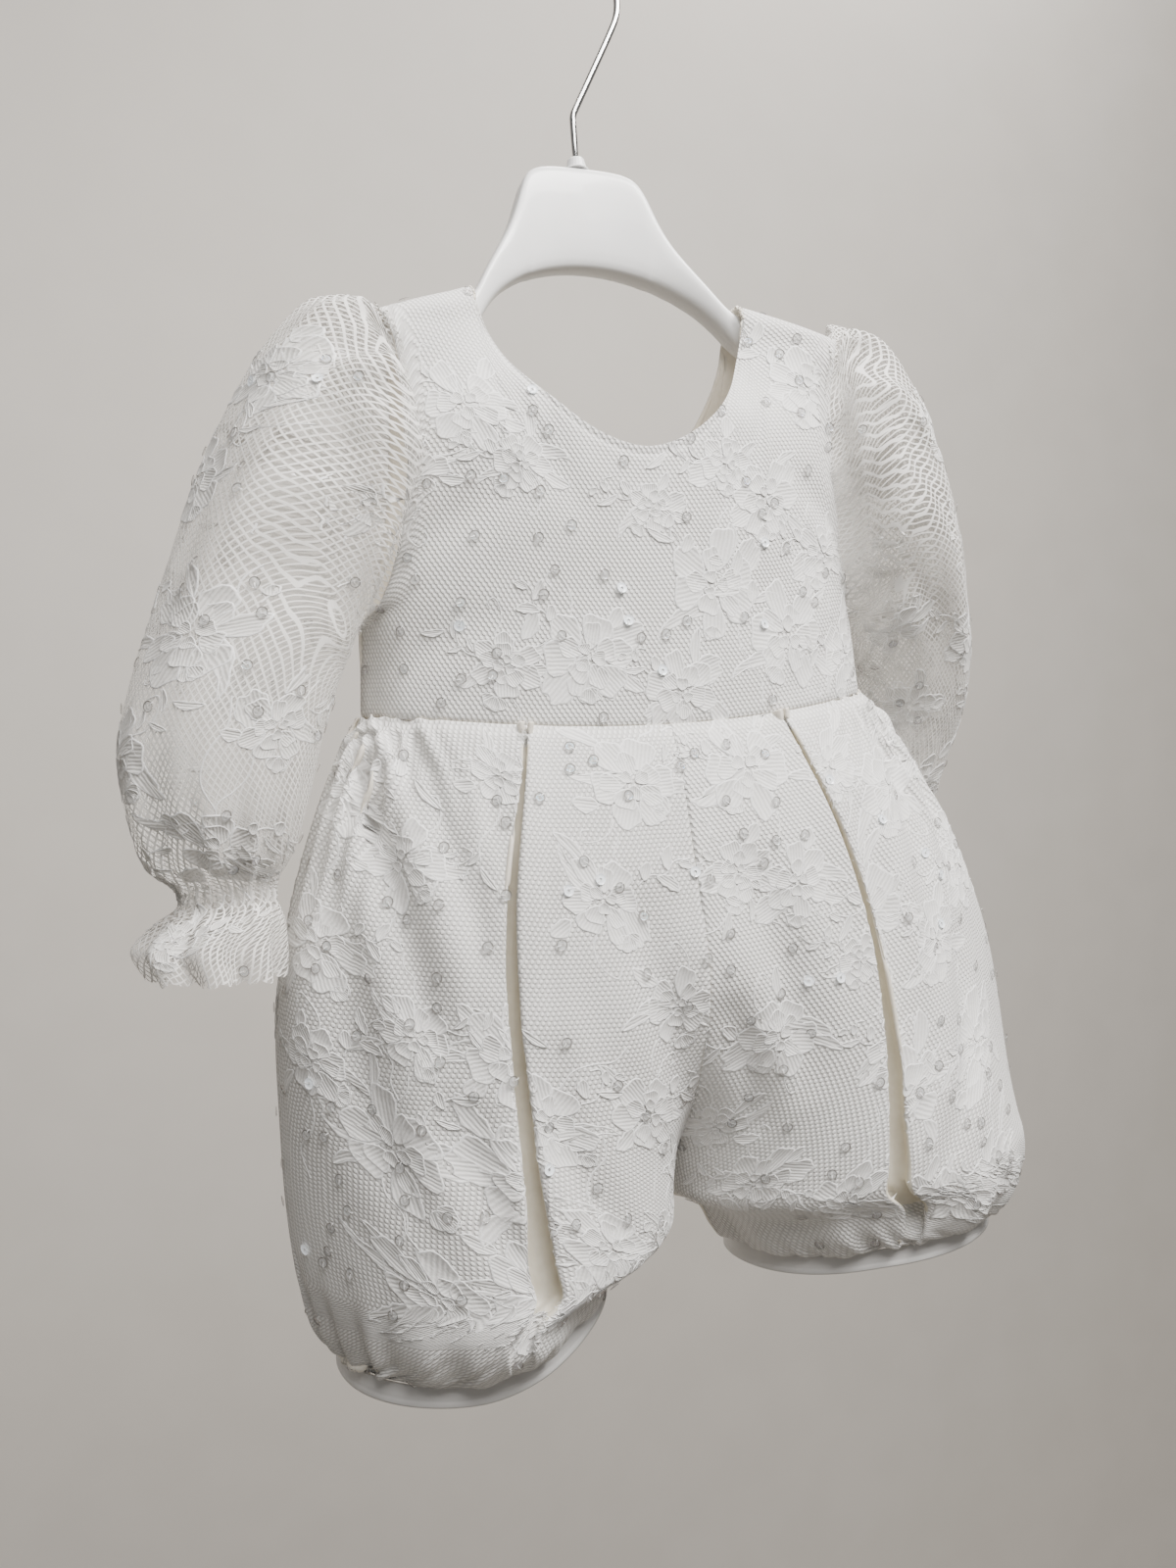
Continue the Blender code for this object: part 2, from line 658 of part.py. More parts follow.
def along_line(points, share):
    """A point at a share of the way along a run of points, by its length."""
    steps = np.linalg.norm(np.diff(points, axis=0), axis=1)
    lengths = np.concatenate([[0.0], np.cumsum(steps)])
    at = share * lengths[-1]
    return np.array([np.interp(at, lengths, points[:, k]) for k in range(3)])


def armhole_ring(front, back, side):
    """Points round the armhole: 0 at the shoulder, then front, underarm and back."""
    ring = []
    for k in range(SLEEVE_ROUND):
        turn = k / SLEEVE_ROUND
        if turn <= 0.5:
            point = along_line(front[::-1], turn * 2)
        else:
            point = along_line(back, turn * 2 - 1)
        ring.append(point + np.array((side * ARMHOLE_SEAM, 0.0, 0.0)))
    return np.array(ring)


def sleeve_ring(row, index, side, swing):
    """One ring of a sleeve, with its gathers or its frill's waves."""
    x1, z1, x2, z2, y, deep, roll = row
    forward, belly, out, roll_share = swing
    down = ease((SHOULDER_Z - (z1 + z2) / 2 - 50.0) / 140.0)
    outer, inner = np.array((x1, z1)), np.array((x2, z2))
    centre, reach = (outer + inner) / 2, (outer - inner) / 2
    half = np.linalg.norm(reach)
    ring = []
    for k in range(SLEEVE_ROUND):
        turn = math.tau * k / SLEEVE_ROUND
        gather = 0.0
        if index < CAP_ROWS:
            crown = max(math.cos(turn), 0.0) ** 0.5
            gather = CAP_DEEP * crown * math.cos(CAP_GATHERS * turn) * (1 - index / CAP_ROWS)
        elif CUFF_ROW - WRIST_ROWS <= index <= CUFF_ROW:
            near = 1 - abs(index - CUFF_ROW + 1.5) / (WRIST_ROWS - 0.5)
            gather = WRIST_DEEP * near * math.cos(WRIST_GATHERS * turn)
        elif index > CUFF_ROW:
            reach_out = (index - CUFF_ROW) / (len(SLEEVE) - CUFF_ROW)
            gather = FRILL_DEEP * reach_out * math.cos(FRILL_WAVES * turn + 0.7)
        grown = 1 + gather / half
        x, z = centre + reach * math.cos(turn) * grown
        x -= roll * roll_share * max(math.sin(turn), 0.0) ** SLEEVE_ROLL
        x += belly * 4 * down * (1 - down) + out * down
        depth = y - deep * math.sin(turn) * (1 + gather / deep) - forward * down
        ring.append(np.array((side * x, depth, z)))
    return np.array(ring)


def make_sleeves(edges, net):
    for name, side in SIDES.items():
        rings = [armhole_ring(edges["front"][name], edges["back"][name], side)]
        for index, row in enumerate(SLEEVE):
            rings.append(sleeve_ring(row, index, side, SWING[name]))
        grid = np.array(rings)
        normals = grid_normals(grid, True) * -side
        normals[0, :, 0] = 0
        normals /= np.linalg.norm(normals, axis=2, keepdims=True)
        wall("sleeve_" + name, grid, normals, SLEEVE_LACE, net, around=True)


def build():
    for thing in list(bpy.data.objects):
        bpy.data.objects.remove(thing, do_unlink=True)
    plastic = material("white_plastic", (0.86, 0.86, 0.85), 0.38)
    chrome = material("chrome_wire", (0.78, 0.78, 0.78), 0.12, 1.0)
    lace = material("ivory_lace", (0.86, 0.84, 0.80), 0.75)
    net = material("lace_net", (0.88, 0.87, 0.84), 0.80)
    cotton = material("white_band", (0.88, 0.88, 0.87), 0.70)
    make_hanger(plastic, chrome)
    edges = make_bodice(lace)
    hems = make_shorts(lace)
    make_bands(hems, cotton)
    make_sleeves(edges, net)


build()
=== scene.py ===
"""Baby romper in white corded lace, hanging on a child's hanger: its cloth, lace, sequins,
seams and hanger, with the light and the camera of the photograph."""

import math

import bmesh
import bpy
import numpy as np
from mathutils import Matrix, Vector
from mathutils.bvhtree import BVHTree


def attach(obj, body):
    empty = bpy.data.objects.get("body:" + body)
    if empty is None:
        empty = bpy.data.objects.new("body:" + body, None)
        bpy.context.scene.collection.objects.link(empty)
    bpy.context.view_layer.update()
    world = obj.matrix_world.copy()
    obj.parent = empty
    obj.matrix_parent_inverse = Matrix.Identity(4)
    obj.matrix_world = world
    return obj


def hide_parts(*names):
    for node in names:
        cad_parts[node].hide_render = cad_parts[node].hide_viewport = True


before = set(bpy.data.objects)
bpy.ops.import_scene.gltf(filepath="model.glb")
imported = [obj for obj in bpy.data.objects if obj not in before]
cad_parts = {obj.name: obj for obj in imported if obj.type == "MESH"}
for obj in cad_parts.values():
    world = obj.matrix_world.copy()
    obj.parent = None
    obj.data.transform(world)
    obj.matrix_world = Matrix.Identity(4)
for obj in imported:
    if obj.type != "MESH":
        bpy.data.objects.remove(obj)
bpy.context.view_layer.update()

MM = 0.001
LACE_WALL = 1.4 * MM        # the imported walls, between their outer and inner sides
SLEEVE_WALL = 1.2 * MM
BAND_WALL = 1.6 * MM
WALL_SLACK = 0.002 * MM     # how nearly an edge through a wall has the wall's thickness
SHELL = 0.8 * MM            # lace and lining together
BAND_SHELL = 1.0 * MM
MERGE = 0.01 * MM           # points nearer than this are one
SIDES = {"right": -1, "left": 1}
RANDOM = np.random.default_rng(7)


def show(name, data):
    """Put an object in the scene."""
    made = bpy.data.objects.new(name, data)
    bpy.context.scene.collection.objects.link(made)
    return made


def add_piece(name, mesh, finishes):
    """Put a smooth piece of the romper in the scene."""
    mesh.shade_smooth()
    for finish in finishes:
        mesh.materials.append(finish)
    piece = show(name, mesh)
    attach(piece, "root")
    return piece


def keep(bm, name):
    """Turn a shape that is finished into a mesh."""
    mesh = bpy.data.meshes.new(name)
    bm.to_mesh(mesh)
    bm.free()
    return mesh


def for_piece(table, node):
    """The entry of a table for a piece, by the start of its name."""
    return next((entry for name, entry in table.items() if node.startswith(name)), ())


# Camera, as the photograph was taken
PICTURE = (1200, 1600)
LENS_PIXELS = 1256.7        # focal length in pixels of the photograph
CAMERA_AT = (-0.1958, -0.4699, -0.3443)
AZIMUTH, PITCH, ROLL = 21.04, 0.39, -4.27
SENSOR = 36.0


def make_camera():
    turn, tip, roll = (math.radians(a) for a in (AZIMUTH, PITCH, ROLL))
    forward = Vector((math.sin(turn) * math.cos(tip), math.cos(turn) * math.cos(tip), -math.sin(tip)))
    level = Vector((math.cos(turn), -math.sin(turn), 0.0))
    upright = level.cross(forward)
    right = level * math.cos(roll) + upright * math.sin(roll)
    up = upright * math.cos(roll) - level * math.sin(roll)
    data = bpy.data.cameras.new("camera")
    data.sensor_width = SENSOR
    data.lens = LENS_PIXELS / max(PICTURE) * SENSOR
    camera = show("camera", data)
    place = Matrix((right, up, -forward)).transposed().to_4x4()
    place.translation = Vector(CAMERA_AT)
    camera.matrix_world = place
    bpy.context.scene.camera = camera


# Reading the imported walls


def outer_side(node, wall):
    """The outer side of a packed cloth wall: a merged copy without its rims and its inner side."""
    bm = bmesh.new()
    bm.from_mesh(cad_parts[node].data)
    bmesh.ops.remove_doubles(bm, verts=bm.verts, dist=MERGE)
    through = [e for e in bm.edges if abs(e.calc_length() - wall) < WALL_SLACK]
    rims = {face for edge in through for face in edge.link_faces}
    bmesh.ops.delete(bm, geom=list(rims), context="FACES")
    sheets = []
    left = set(bm.faces)
    while left:
        sheet, todo = set(), [left.pop()]
        while todo:
            face = todo.pop()
            sheet.add(face)
            for edge in face.edges:
                for other in edge.link_faces:
                    if other in left:
                        left.discard(other)
                        todo.append(other)
        sheets.append(sheet)
    outer = max(sheets, key=lambda sheet: sum(face.calc_area() for face in sheet))
    bmesh.ops.delete(bm, geom=[f for f in bm.faces if f not in outer], context="FACES")
    return bm


def rim_loops(bm):
    """The open edges of a sheet, as closed rings of points."""
    open_edges = {e for e in bm.edges if e.is_boundary}
    loops = []
    while open_edges:
        edge = next(iter(open_edges))
        open_edges.discard(edge)
        ring = [edge.verts[0], edge.verts[1]]
        while True:
            onward = [e for e in ring[-1].link_edges if e in open_edges]
            if not onward:
                break
            open_edges.discard(onward[0])
            ring.append(onward[0].other_vert(ring[-1]))
        loops.append(ring[:-1] if ring[0] is ring[-1] else ring)
    return loops


def third(face, a, b):
    return next(v for v in face.verts if v is not a and v is not b)


def row_below(bm, row, foot, closed):
    """The row of points under a row, through the triangles between them; foot is under the first."""
    below = [foot]
    for c in range(len(row) - (0 if closed else 1)):
        a, d, b = row[c], row[(c + 1) % len(row)], below[-1]
        found = None
        for face in bm.edges.get((a, b)).link_faces:
            x = third(face, a, b)
            slant = bm.edges.get((b, d)) if x is d else bm.edges.get((a, x))
            for other in slant.link_faces:
                if other is face:
                    continue
                y = third(other, *slant.verts)
                if x is d:
                    found = y
                elif y is d:
                    found = x
        if found is None:
            return None
        below.append(found)
    return below[:-1] if closed else below


def panel_grid(node, wall, corners):
    """Rows of points of a panel from its top edge down; corners picks the two ends of that edge."""
    bm = outer_side(node, wall)
    ring = max(rim_loops(bm), key=len)
    ends = [max(range(len(ring)), key=lambda i: corner(ring[i].co)) for corner in corners]
    ring = ring[ends[0]:] + ring[:ends[0]]
    across = (ends[1] - ends[0]) % len(ring)
    if across > len(ring) // 2 + 6:
        ring = [ring[0]] + ring[:0:-1]
        across = len(ring) - across
    down = len(ring) // 2 - across
    rows = [ring[:across + 1]]
    edge = [ring[-i] for i in range(1, down + 1)]
    for foot in edge:
        rows.append(row_below(bm, rows[-1], foot, False))
    grid = np.array([[v.co[:] for v in row] for row in rows])
    bm.free()
    return grid


def tube_grid(node, wall, start):
    """Closed rings of points of a tube from its top edge down; start picks where each begins."""
    bm = outer_side(node, wall)
    top, foot = sorted(rim_loops(bm), key=lambda ring: -sum(v.co.z for v in ring) / len(ring))
    first = max(range(len(top)), key=lambda i: start(top[i].co))
    ring = top[first:] + top[:first]
    if ring[1].co.y > ring[-1].co.y:
        ring = [ring[0]] + ring[:0:-1]
    rows, used = [ring], set(ring)
    while rows[-1][0] not in foot:
        row = rows[-1]
        below = [e.other_vert(row[0]) for e in row[0].link_edges]
        tried = [row_below(bm, row, v, True) for v in below if v not in used]
        tried = [found for found in tried if found]
        rows.append(min(tried, key=lambda r: sum((a.co - b.co).length for a, b in zip(row, r))))
        used.update(rows[-1])
    grid = np.array([[v.co[:] for v in row + row[:1]] for row in rows])
    bm.free()
    return grid


# Cloth: a grid of points, and each point's place on the flat cut


def between(points, parts):
    """More points along the first axis, on a smooth curve through the given ones."""
    gaps = np.maximum(np.linalg.norm(np.diff(points, axis=0), axis=-1, keepdims=True), 1e-9)
    slopes = np.diff(points, axis=0) / gaps
    inner = (slopes[:-1] * gaps[1:] + slopes[1:] * gaps[:-1]) / (gaps[:-1] + gaps[1:])
    slopes = np.concatenate([slopes[:1], inner, slopes[-1:]])
    made = []
    for i, gap in enumerate(gaps):
        for k in range(parts):
            t = k / parts
            made.append(
                (2 * t ** 3 - 3 * t ** 2 + 1) * points[i] + (3 * t ** 2 - 2 * t ** 3) * points[i + 1]
                + gap * ((t ** 3 - 2 * t ** 2 + t) * slopes[i] + (t ** 3 - t ** 2) * slopes[i + 1])
            )
    made.append(points[-1])
    return np.array(made)


def lengths(points, start, rise=0.0):
    """How far each point along the second axis lies from the one at start, along the cloth.

    rise is how much of each step already goes the other way on the cut.
    """
    steps = np.linalg.norm(np.diff(points, axis=1), axis=2)
    steps = np.sqrt(np.maximum(steps ** 2 - rise ** 2, (0.25 * steps) ** 2))
    run = np.concatenate([np.zeros((len(points), 1)), np.cumsum(steps, axis=1)], axis=1)
    return run - run[:, start:start + 1]


def ease(value):
    t = np.clip(value, 0.0, 1.0)
    return t * t * (3 - 2 * t)


class Cloth:
    """One cut piece: its points in space, their outward directions and their places on the cut.

    u runs across from the column at middle and v up from the row at base, both in metres.
    """

    def __init__(self, name, grid, outwards, middle, base, tube=False):
        down, across = for_piece(DENSITY, name)
        self.name = name
        self.tube = tube
        self.middle, self.base = middle * across, base * down
        points = between(grid, down)
        self.points = between(points.swapaxes(0, 1), across).swapaxes(0, 1)
        self.face = 1.0
        self.floor = None       # columns and rows of a pleat's plain floor
        normals = self.normals()
        if (normals[len(normals) // 2] * outwards(self.points[len(normals) // 2])).sum() < 0:
            self.face = -1.0
        self.measure()

    def normals(self):
        """Outward directions of the cloth at its points."""
        points = self.points
        across = np.gradient(points, axis=1)
        if self.tube:
            across[:, 0] = across[:, -1] = (points[:, 1] - points[:, -2]) / 2
        normal = np.cross(across, np.gradient(points, axis=0))
        return self.face * normal / np.maximum(np.linalg.norm(normal, axis=2, keepdims=True), 1e-12)

    def measure(self):
        """Work out u and v from the lengths along the cloth."""
        self.v = -lengths(self.points.swapaxes(0, 1), self.base).T
        self.u = lengths(self.points, self.middle, np.diff(self.v, axis=1))

    def press(self, depth):
        """Move the cloth in by depth, in metres, and out where it is negative."""
        self.points = self.points - self.normals() * depth[:, :, None]
        if self.tube:
            self.points[:, -1] = self.points[:, 0]

    def crease(self, start, end, width, depth):
        """A soft trough from start to end on the cut, all in millimetres, fading at both ends."""
        a = np.array(start) * MM
        b = np.array(end) * MM
        run = b - a
        place = np.stack([self.u, self.v], axis=2) - a
        along = np.clip((place @ run) / (run @ run), 0.0, 1.0)
        away = np.linalg.norm(place - along[:, :, None] * run, axis=2)
        fade = np.sin(math.pi * np.clip(0.12 + 0.88 * along, 0, 1)) ** 0.7
        trough = np.exp(-(away / (width * MM)) ** 2)
        lips = 0.3 * np.exp(-((away - 2.0 * width * MM) / (width * MM)) ** 2)
        self.press(depth * MM * fade * (trough - lips))


def shell(cloth, finishes, wall=SHELL):
    """The cloth as a mesh with its cut as a UV map, and a wall if it has one.

    The second of three finishes shows on the floor of a pleat: its ivory underlay, painted darker for the
    shade deep in the pleat.
    """
    rows, cols, _ = cloth.points.shape
    bm = bmesh.new()
    bmesh.ops.create_grid(bm, x_segments=cols - 1, y_segments=rows - 1, size=0.5)
    for vert, place in zip(bm.verts, cloth.points.reshape(-1, 3)):
        vert.co = place
    if cloth.floor:
        start, end, top, foot = cloth.floor
        for i, face in enumerate(bm.faces):
            if start <= i % (cols - 1) < end and top <= i // (cols - 1) < foot:
                face.material_index = 1
    if cloth.face < 0:
        bmesh.ops.reverse_faces(bm, faces=bm.faces)
    mesh = keep(bm, cloth.name + "_cloth")
    corners = np.zeros(len(mesh.loops), dtype=np.int32)
    mesh.loops.foreach_get("vertex_index", corners)
    cut = np.stack([cloth.u, cloth.v], axis=2).reshape(-1, 2)
    mesh.uv_layers.new(name="cut").data.foreach_set("uv", cut[corners].ravel())
    if cloth.tube:
        bm = bmesh.new()
        bm.from_mesh(mesh)
        bmesh.ops.remove_doubles(bm, verts=bm.verts, dist=MERGE)
        bm.to_mesh(mesh)
        bm.free()
    piece = add_piece(cloth.name + "_cloth", mesh, finishes)
    if wall:
        thick = piece.modifiers.new("wall", "SOLIDIFY")
        thick.thickness = wall
        thick.offset = -1.0
        thick.material_offset = thick.material_offset_rim = len(finishes) - 1
    return piece


# Shaping the cloth: pleats, gathers and creases

# Dense rows and columns of each piece for each packed one
DENSITY = {
    "bodice_front": (9, 5),
    "bodice_back": (7, 4),
    "shorts_front": (10, 6),
    "shorts_back": (8, 5),
    "sleeve": (9, 6),
    "leg_band": (12, 4),
}
PLEAT_FROM, PLEAT_TO = 6, 12        # packed columns at the two lips of a front pleat
# Down a pleat, in millimetres below the waist: how wide it gapes and how deep it is
PLEAT_RUN = (
    (0.0, 0.6, 0.5), (8.0, 1.2, 2.5), (20.0, 1.8, 5.0), (60.0, 2.4, 7.0), (110.0, 4.0, 8.0),
    (160.0, 7.0, 8.5), (200.0, 9.0, 7.0), (222.0, 6.0, 4.0), (250.0, 2.0, 1.0),
)
PLEAT_END = (206.0, 236.0)  # the folded cloth runs out into the gathered hem between these
FLOOR_TOP = 6.0             # the plain floor of the pleat starts this far below the waist
FLOOR_INSET = 1.6           # and lies this many packed columns inside the lips
PLEAT_LIP = 0.5             # how far a lip stands out
PLEAT_UNDER = 1.8           # how far the cloth folds back under its lip


def pleat_section(half, gape, deep, count):
    """Points across a pleat: along a lip, under it, over the floor and back, evenly spaced."""
    g = gape / 2
    right = [(half, 0.0), (g + 2.2, -PLEAT_LIP * 0.8), (g + 0.5, -PLEAT_LIP), (g, 0.1)]
    under = min(PLEAT_UNDER, max(half - g - 1.0, 0.2))
    right += [(g + 0.3 * under, 0.35 * deep), (g + under, 0.85 * deep), (g + 0.4 * under, deep)]
    profile = np.array([(-x, d) for x, d in right] + [(0.0, deep * 0.96)] + right[::-1])
    smooth = between(profile, 8)
    run = np.concatenate([[0.0], np.cumsum(np.linalg.norm(np.diff(smooth, axis=0), axis=1))])
    at = np.linspace(0.0, run[-1], count)
    return np.array([np.interp(at, run, smooth[:, k]) for k in range(2)]).T * MM


def fold_pleat(cloth):
    """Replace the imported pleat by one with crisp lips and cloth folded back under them."""
    steps = DENSITY["shorts_front"][1]
    first, last = PLEAT_FROM * steps, PLEAT_TO * steps
    run = np.array(PLEAT_RUN)
    edge = int(FLOOR_INSET * steps)
    top, foot = (int((cloth.v[:, first] > -down * MM).sum()) for down in (FLOOR_TOP, PLEAT_END[0]))
    cloth.floor = (first + edge, last - edge, top, foot)
    normals = cloth.normals()
    for r, row in enumerate(cloth.points):
        a, b = row[first], row[last]
        down = -cloth.v[r, first] / MM
        gape, deep = (np.interp(down, run[:, 0], run[:, k]) for k in (1, 2))
        half = np.linalg.norm(b - a) / 2
        before = row[first] - row[first - 3]
        after = row[last + 3] - row[last]
        before, after = (2 * half * d / np.linalg.norm(d) for d in (before, after))
        out = normals[r, first] + normals[r, last]
        out /= np.linalg.norm(out)
        packed = row[first:last + 1].copy()
        gone = ease((down - PLEAT_END[0]) / (PLEAT_END[1] - PLEAT_END[0]))
        for k, (x, d) in enumerate(pleat_section(half / MM, gape, deep, last - first + 1)):
            t = min(max((x / half + 1) / 2, 0.0), 1.0)
            over = (2 * t ** 3 - 3 * t ** 2 + 1) * a + (3 * t ** 2 - 2 * t ** 3) * b
            over += (t ** 3 - 2 * t ** 2 + t) * before + (t ** 3 - t ** 2) * after
            row[first + k] = (over - out * d) * (1 - gone) + packed[k] * gone


def puckers(cloth, edge, spread, count, long, depth, wide, beyond):
    """Hand-made looking gathers along an edge: uneven troughs between two places across it."""
    rows, cols = cloth.u.shape
    for i in range(count):
        share = (i + RANDOM.uniform(0.25, 0.75)) / count
        c = int((spread[0] + (spread[1] - spread[0]) * share) * (cols - 1))
        r = 0 if edge == "top" else rows - 1
        sign = -1.0 if edge == "top" else 1.0
        reach = long * RANDOM.uniform(0.55, 1.25)
        start = np.array((cloth.u[r, c], cloth.v[r, c])) / MM
        start -= np.array((0.0, sign * reach * beyond))
        end = start + np.array((RANDOM.uniform(-3.0, 3.0), sign * reach * (1 + beyond)))
        cloth.crease(start, end, wide * RANDOM.uniform(0.75, 1.3), depth * RANDOM.uniform(0.6, 1.3))


def tuck(cloth, shift, reach):
    """Slip the top edge under the piece that it is sewn to: shift is the whole move, in metres."""
    from_top = cloth.v[0] - cloth.v
    cloth.points = cloth.points + (1 - ease(from_top / reach))[:, :, None] * shift


def turned_edge(cloth, reach, depth):
    """The stitches that hold a turned edge, a groove beside the top edge, and the waist's seam."""
    from_top = (cloth.v[0] - cloth.v) / MM
    from_foot = (cloth.v - cloth.v[-1]) / MM
    cloth.press(depth * MM * np.exp(-((from_top - reach) / 1.3) ** 2))
    cloth.press(2 * depth * MM * np.exp(-(from_foot / 1.5) ** 2))


def scallops(cloth, wide, deep):
    """An uneven row of small arches along the foot of a frill."""
    from_foot = cloth.v - cloth.v[-1]
    arch = np.abs(np.sin(math.pi * cloth.u / (wide * MM) + 0.6 * np.sin(cloth.u / (9 * MM))))
    drop = (cloth.points[-1] - cloth.points[-2])
    drop /= np.linalg.norm(drop, axis=1, keepdims=True)
    reach = (1 - ease(from_foot / (6 * MM)))[:, :, None]
    cloth.points = cloth.points + drop * reach * ((arch - 0.5) * deep * MM)[:, :, None]


WRIST = (0.0, 9.0)          # where the elastic lies on a sleeve's cut, in millimetres


def shirr(cloth, count, depth):
    """Fine gathers that the wrist's elastic draws up, strongest along it."""
    turn = math.tau * count * cloth.u / (cloth.u.max(axis=1) - cloth.u.min(axis=1))[:, None]
    wave = np.cos(turn) + 0.6 * np.cos(1.62 * turn + 1.0)
    near = np.exp(-((cloth.v / MM - WRIST[0]) / WRIST[1]) ** 2)
    cloth.press(depth * MM * wave * near)


# Gathers of each piece: the edge, between which shares of its length, how many, their length,
# depth and width in millimetres, and the share of that length that lies beyond the edge
GATHERS = {
    "shorts_front": (
        ("top", (0.60, 0.98), 7, 38.0, 1.2, 3.2, 0.45), ("foot", (0.03, 0.97), 24, 16.0, 1.1, 2.2, 0.45),
    ),
    "shorts_back": (
        ("top", (0.04, 0.96), 13, 36.0, 1.4, 3.2, 0.45), ("foot", (0.03, 0.97), 20, 16.0, 1.1, 2.2, 0.45),
    ),
    "sleeve": (("top", (0.16, 0.84), 12, 40.0, 1.8, 4.4, 0.1),),
}

# Creases of each piece: from where to where on the cut, width and depth, in millimetres
CREASES = {
    "bodice_front": (
        (-96, 60, -50, 95, 7.0, 0.9), (-99, 20, -62, 44, 6.0, 0.7), (98, 66, 66, 96, 6.0, 0.8),
        (60, 8, 96, 34, 6.0, 0.6), (-30, 84, -58, 128, 6.0, 0.6), (34, 82, 58, 120, 5.0, 0.6),
    ),
    "shorts_front_right": (
        (140, -6, 120, -120, 7.0, 2.4), (112, -4, 98, -96, 6.0, 1.8), (86, -30, 84, -150, 10.0, 1.6),
        (150, -60, 150, -180, 9.0, 1.8), (24, -70, 8, -150, 9.0, 2.0), (64, -120, 70, -196, 7.0, 1.4),
        (118, -140, 128, -205, 7.0, 1.6),
    ),
    "shorts_front_left": (
        (120, -6, 126, -110, 7.0, 2.0), (150, -8, 152, -90, 6.0, 2.2), (22, -60, 44, -150, 9.0, 2.2),
        (92, -50, 100, -160, 8.0, 1.8), (10, -110, 30, -165, 6.0, 1.8), (140, -110, 138, -190, 7.0, 1.8),
    ),
    "shorts_back_right": (
        (30, -8, 34, -130, 8.0, 2.2), (66, -8, 60, -110, 7.0, 2.0), (100, -10, 96, -150, 8.0, 2.2),
        (20, -120, 56, -190, 8.0, 1.6),
    ),
    "shorts_back_left": (
        (26, -8, 24, -110, 7.0, 2.0), (58, -8, 66, -140, 8.0, 2.4), (104, -10, 104, -120, 7.0, 1.8),
        (22, -126, 64, -186, 8.0, 1.6),
    ),
    "sleeve_right": (
        (-20, 190, -14, 90, 8.0, 2.0), (24, 196, 28, 110, 7.0, 2.2), (-50, 170, -40, 70, 8.0, 2.2),
        (8, 110, 0, 20, 6.0, 1.6), (52, 150, 44, 60, 8.0, 2.0), (-30, 70, -22, 10, 6.0, 1.6),
    ),
    "sleeve_left": (
        (-24, 186, -30, 90, 8.0, 2.2), (16, 196, 10, 100, 7.0, 2.0), (46, 176, 52, 80, 8.0, 2.2),
        (-6, 100, -12, 20, 6.0, 1.6), (30, 80, 24, 10, 6.0, 1.6), (-60, 150, -48, 60, 8.0, 2.0),
    ),
}
CREASE_GAIN = 1.25          # all of them are this much deeper


def shape_cloths(cloths):
    for node, cloth in cloths.items():
        side = SIDES[node.split("_")[-1]] if node != "bodice_front" else 0
        if node.startswith("shorts_front"):
            fold_pleat(cloth)
            cloth.measure()
        for gathers in for_piece(GATHERS, node):
            puckers(cloth, *gathers)
        if node.startswith("sleeve"):
            shirr(cloth, 26, 0.8)
            scallops(cloth, 6.5, 1.6)
        elif node.startswith("bodice"):
            turned_edge(cloth, 3.0, 0.35)
        for u0, v0, u1, v1, width, depth in for_piece(CREASES, node):
            cloth.crease((u0, v0), (u1, v1), width, depth * CREASE_GAIN)
        if node.startswith("shorts"):
            cloth.points[:, 0, 0] -= side * 0.5 * MM    # the two halves meet without a slit
            tuck(cloth, np.array((0.0, 0.0, 1.6 * MM)) - 1.6 * MM * cloth.normals()[:1], 4.0 * MM)
        elif node.startswith("sleeve"):
            tuck(cloth, np.array((-side * 3.0 * MM, 0.0, 0.0)), 6.0 * MM)


# Lace: the drawing of its flowers, leaves, stems and patches, each a low relief with a cord
# round it, drawn flat and then laid on the cloth

CORD = 0.6                  # width of the thick thread round each figure
CORD_HIGH = 0.23
RELIEF = 0.11               # how far the close stitching inside a figure stands up
LAYER = 0.07                # each petal lies this much above the one before it


def petal(long, wide, waves, ruffle, phase):
    """Outline of a petal: narrow at its foot, broad and scalloped at its end."""
    def place(turn):
        up = 0.5 - 0.5 * math.cos(turn)
        x = wide / 2 * math.sin(turn) * (0.45 + 0.7 * up ** 0.7)
        wave = math.sin(waves * turn + phase) + 0.45 * math.sin(2.3 * waves * turn + 2 * phase)
        grow = 1 + ruffle * up ** 1.5 * wave
        return x * grow, long * up * (1 + 0.6 * ruffle * up * math.sin(waves * turn + phase + 1))
    return place


def leaf(long, wide, teeth, bite, bend):
    """Outline of a leaf: pointed at both ends, with small teeth and a bend."""
    def place(turn):
        up = 0.5 - 0.5 * math.cos(turn)
        half = wide / 2 * math.sin(turn) * abs(math.sin(turn)) ** 0.45
        half *= 1 + bite * math.sin(teeth * turn)
        return half + bend * wide * math.sin(math.pi * up), long * up
    return place


def cloud(long, wide, phase, rough, bend=0.0):
    """Outline of a patch with an uneven, lobed edge, bent sideways by a share of its length."""
    def place(turn):
        grow = 1 + rough * math.sin(3 * turn + phase) + 0.7 * rough * math.sin(7 * turn + 2.3 * phase)
        y = long / 2 * math.sin(turn) * grow
        return wide / 2 * math.cos(turn) * grow + bend * long * (2 * y / long) ** 2, y
    return place


def face_up(bm):
    for face in bm.faces:
        face.normal_update()
        if face.normal.z < 0:
            face.normal_flip()


def keep_drawing(bm, name):
    """A flat figure as a mesh; its own drawing stays as a map, for the run of its stitches."""
    uv = bm.loops.layers.uv.new("stitch")
    for face in bm.faces:
        for loop in face.loops:
            loop[uv].uv = loop.vert.co.xy * MM
    return keep(bm, name)


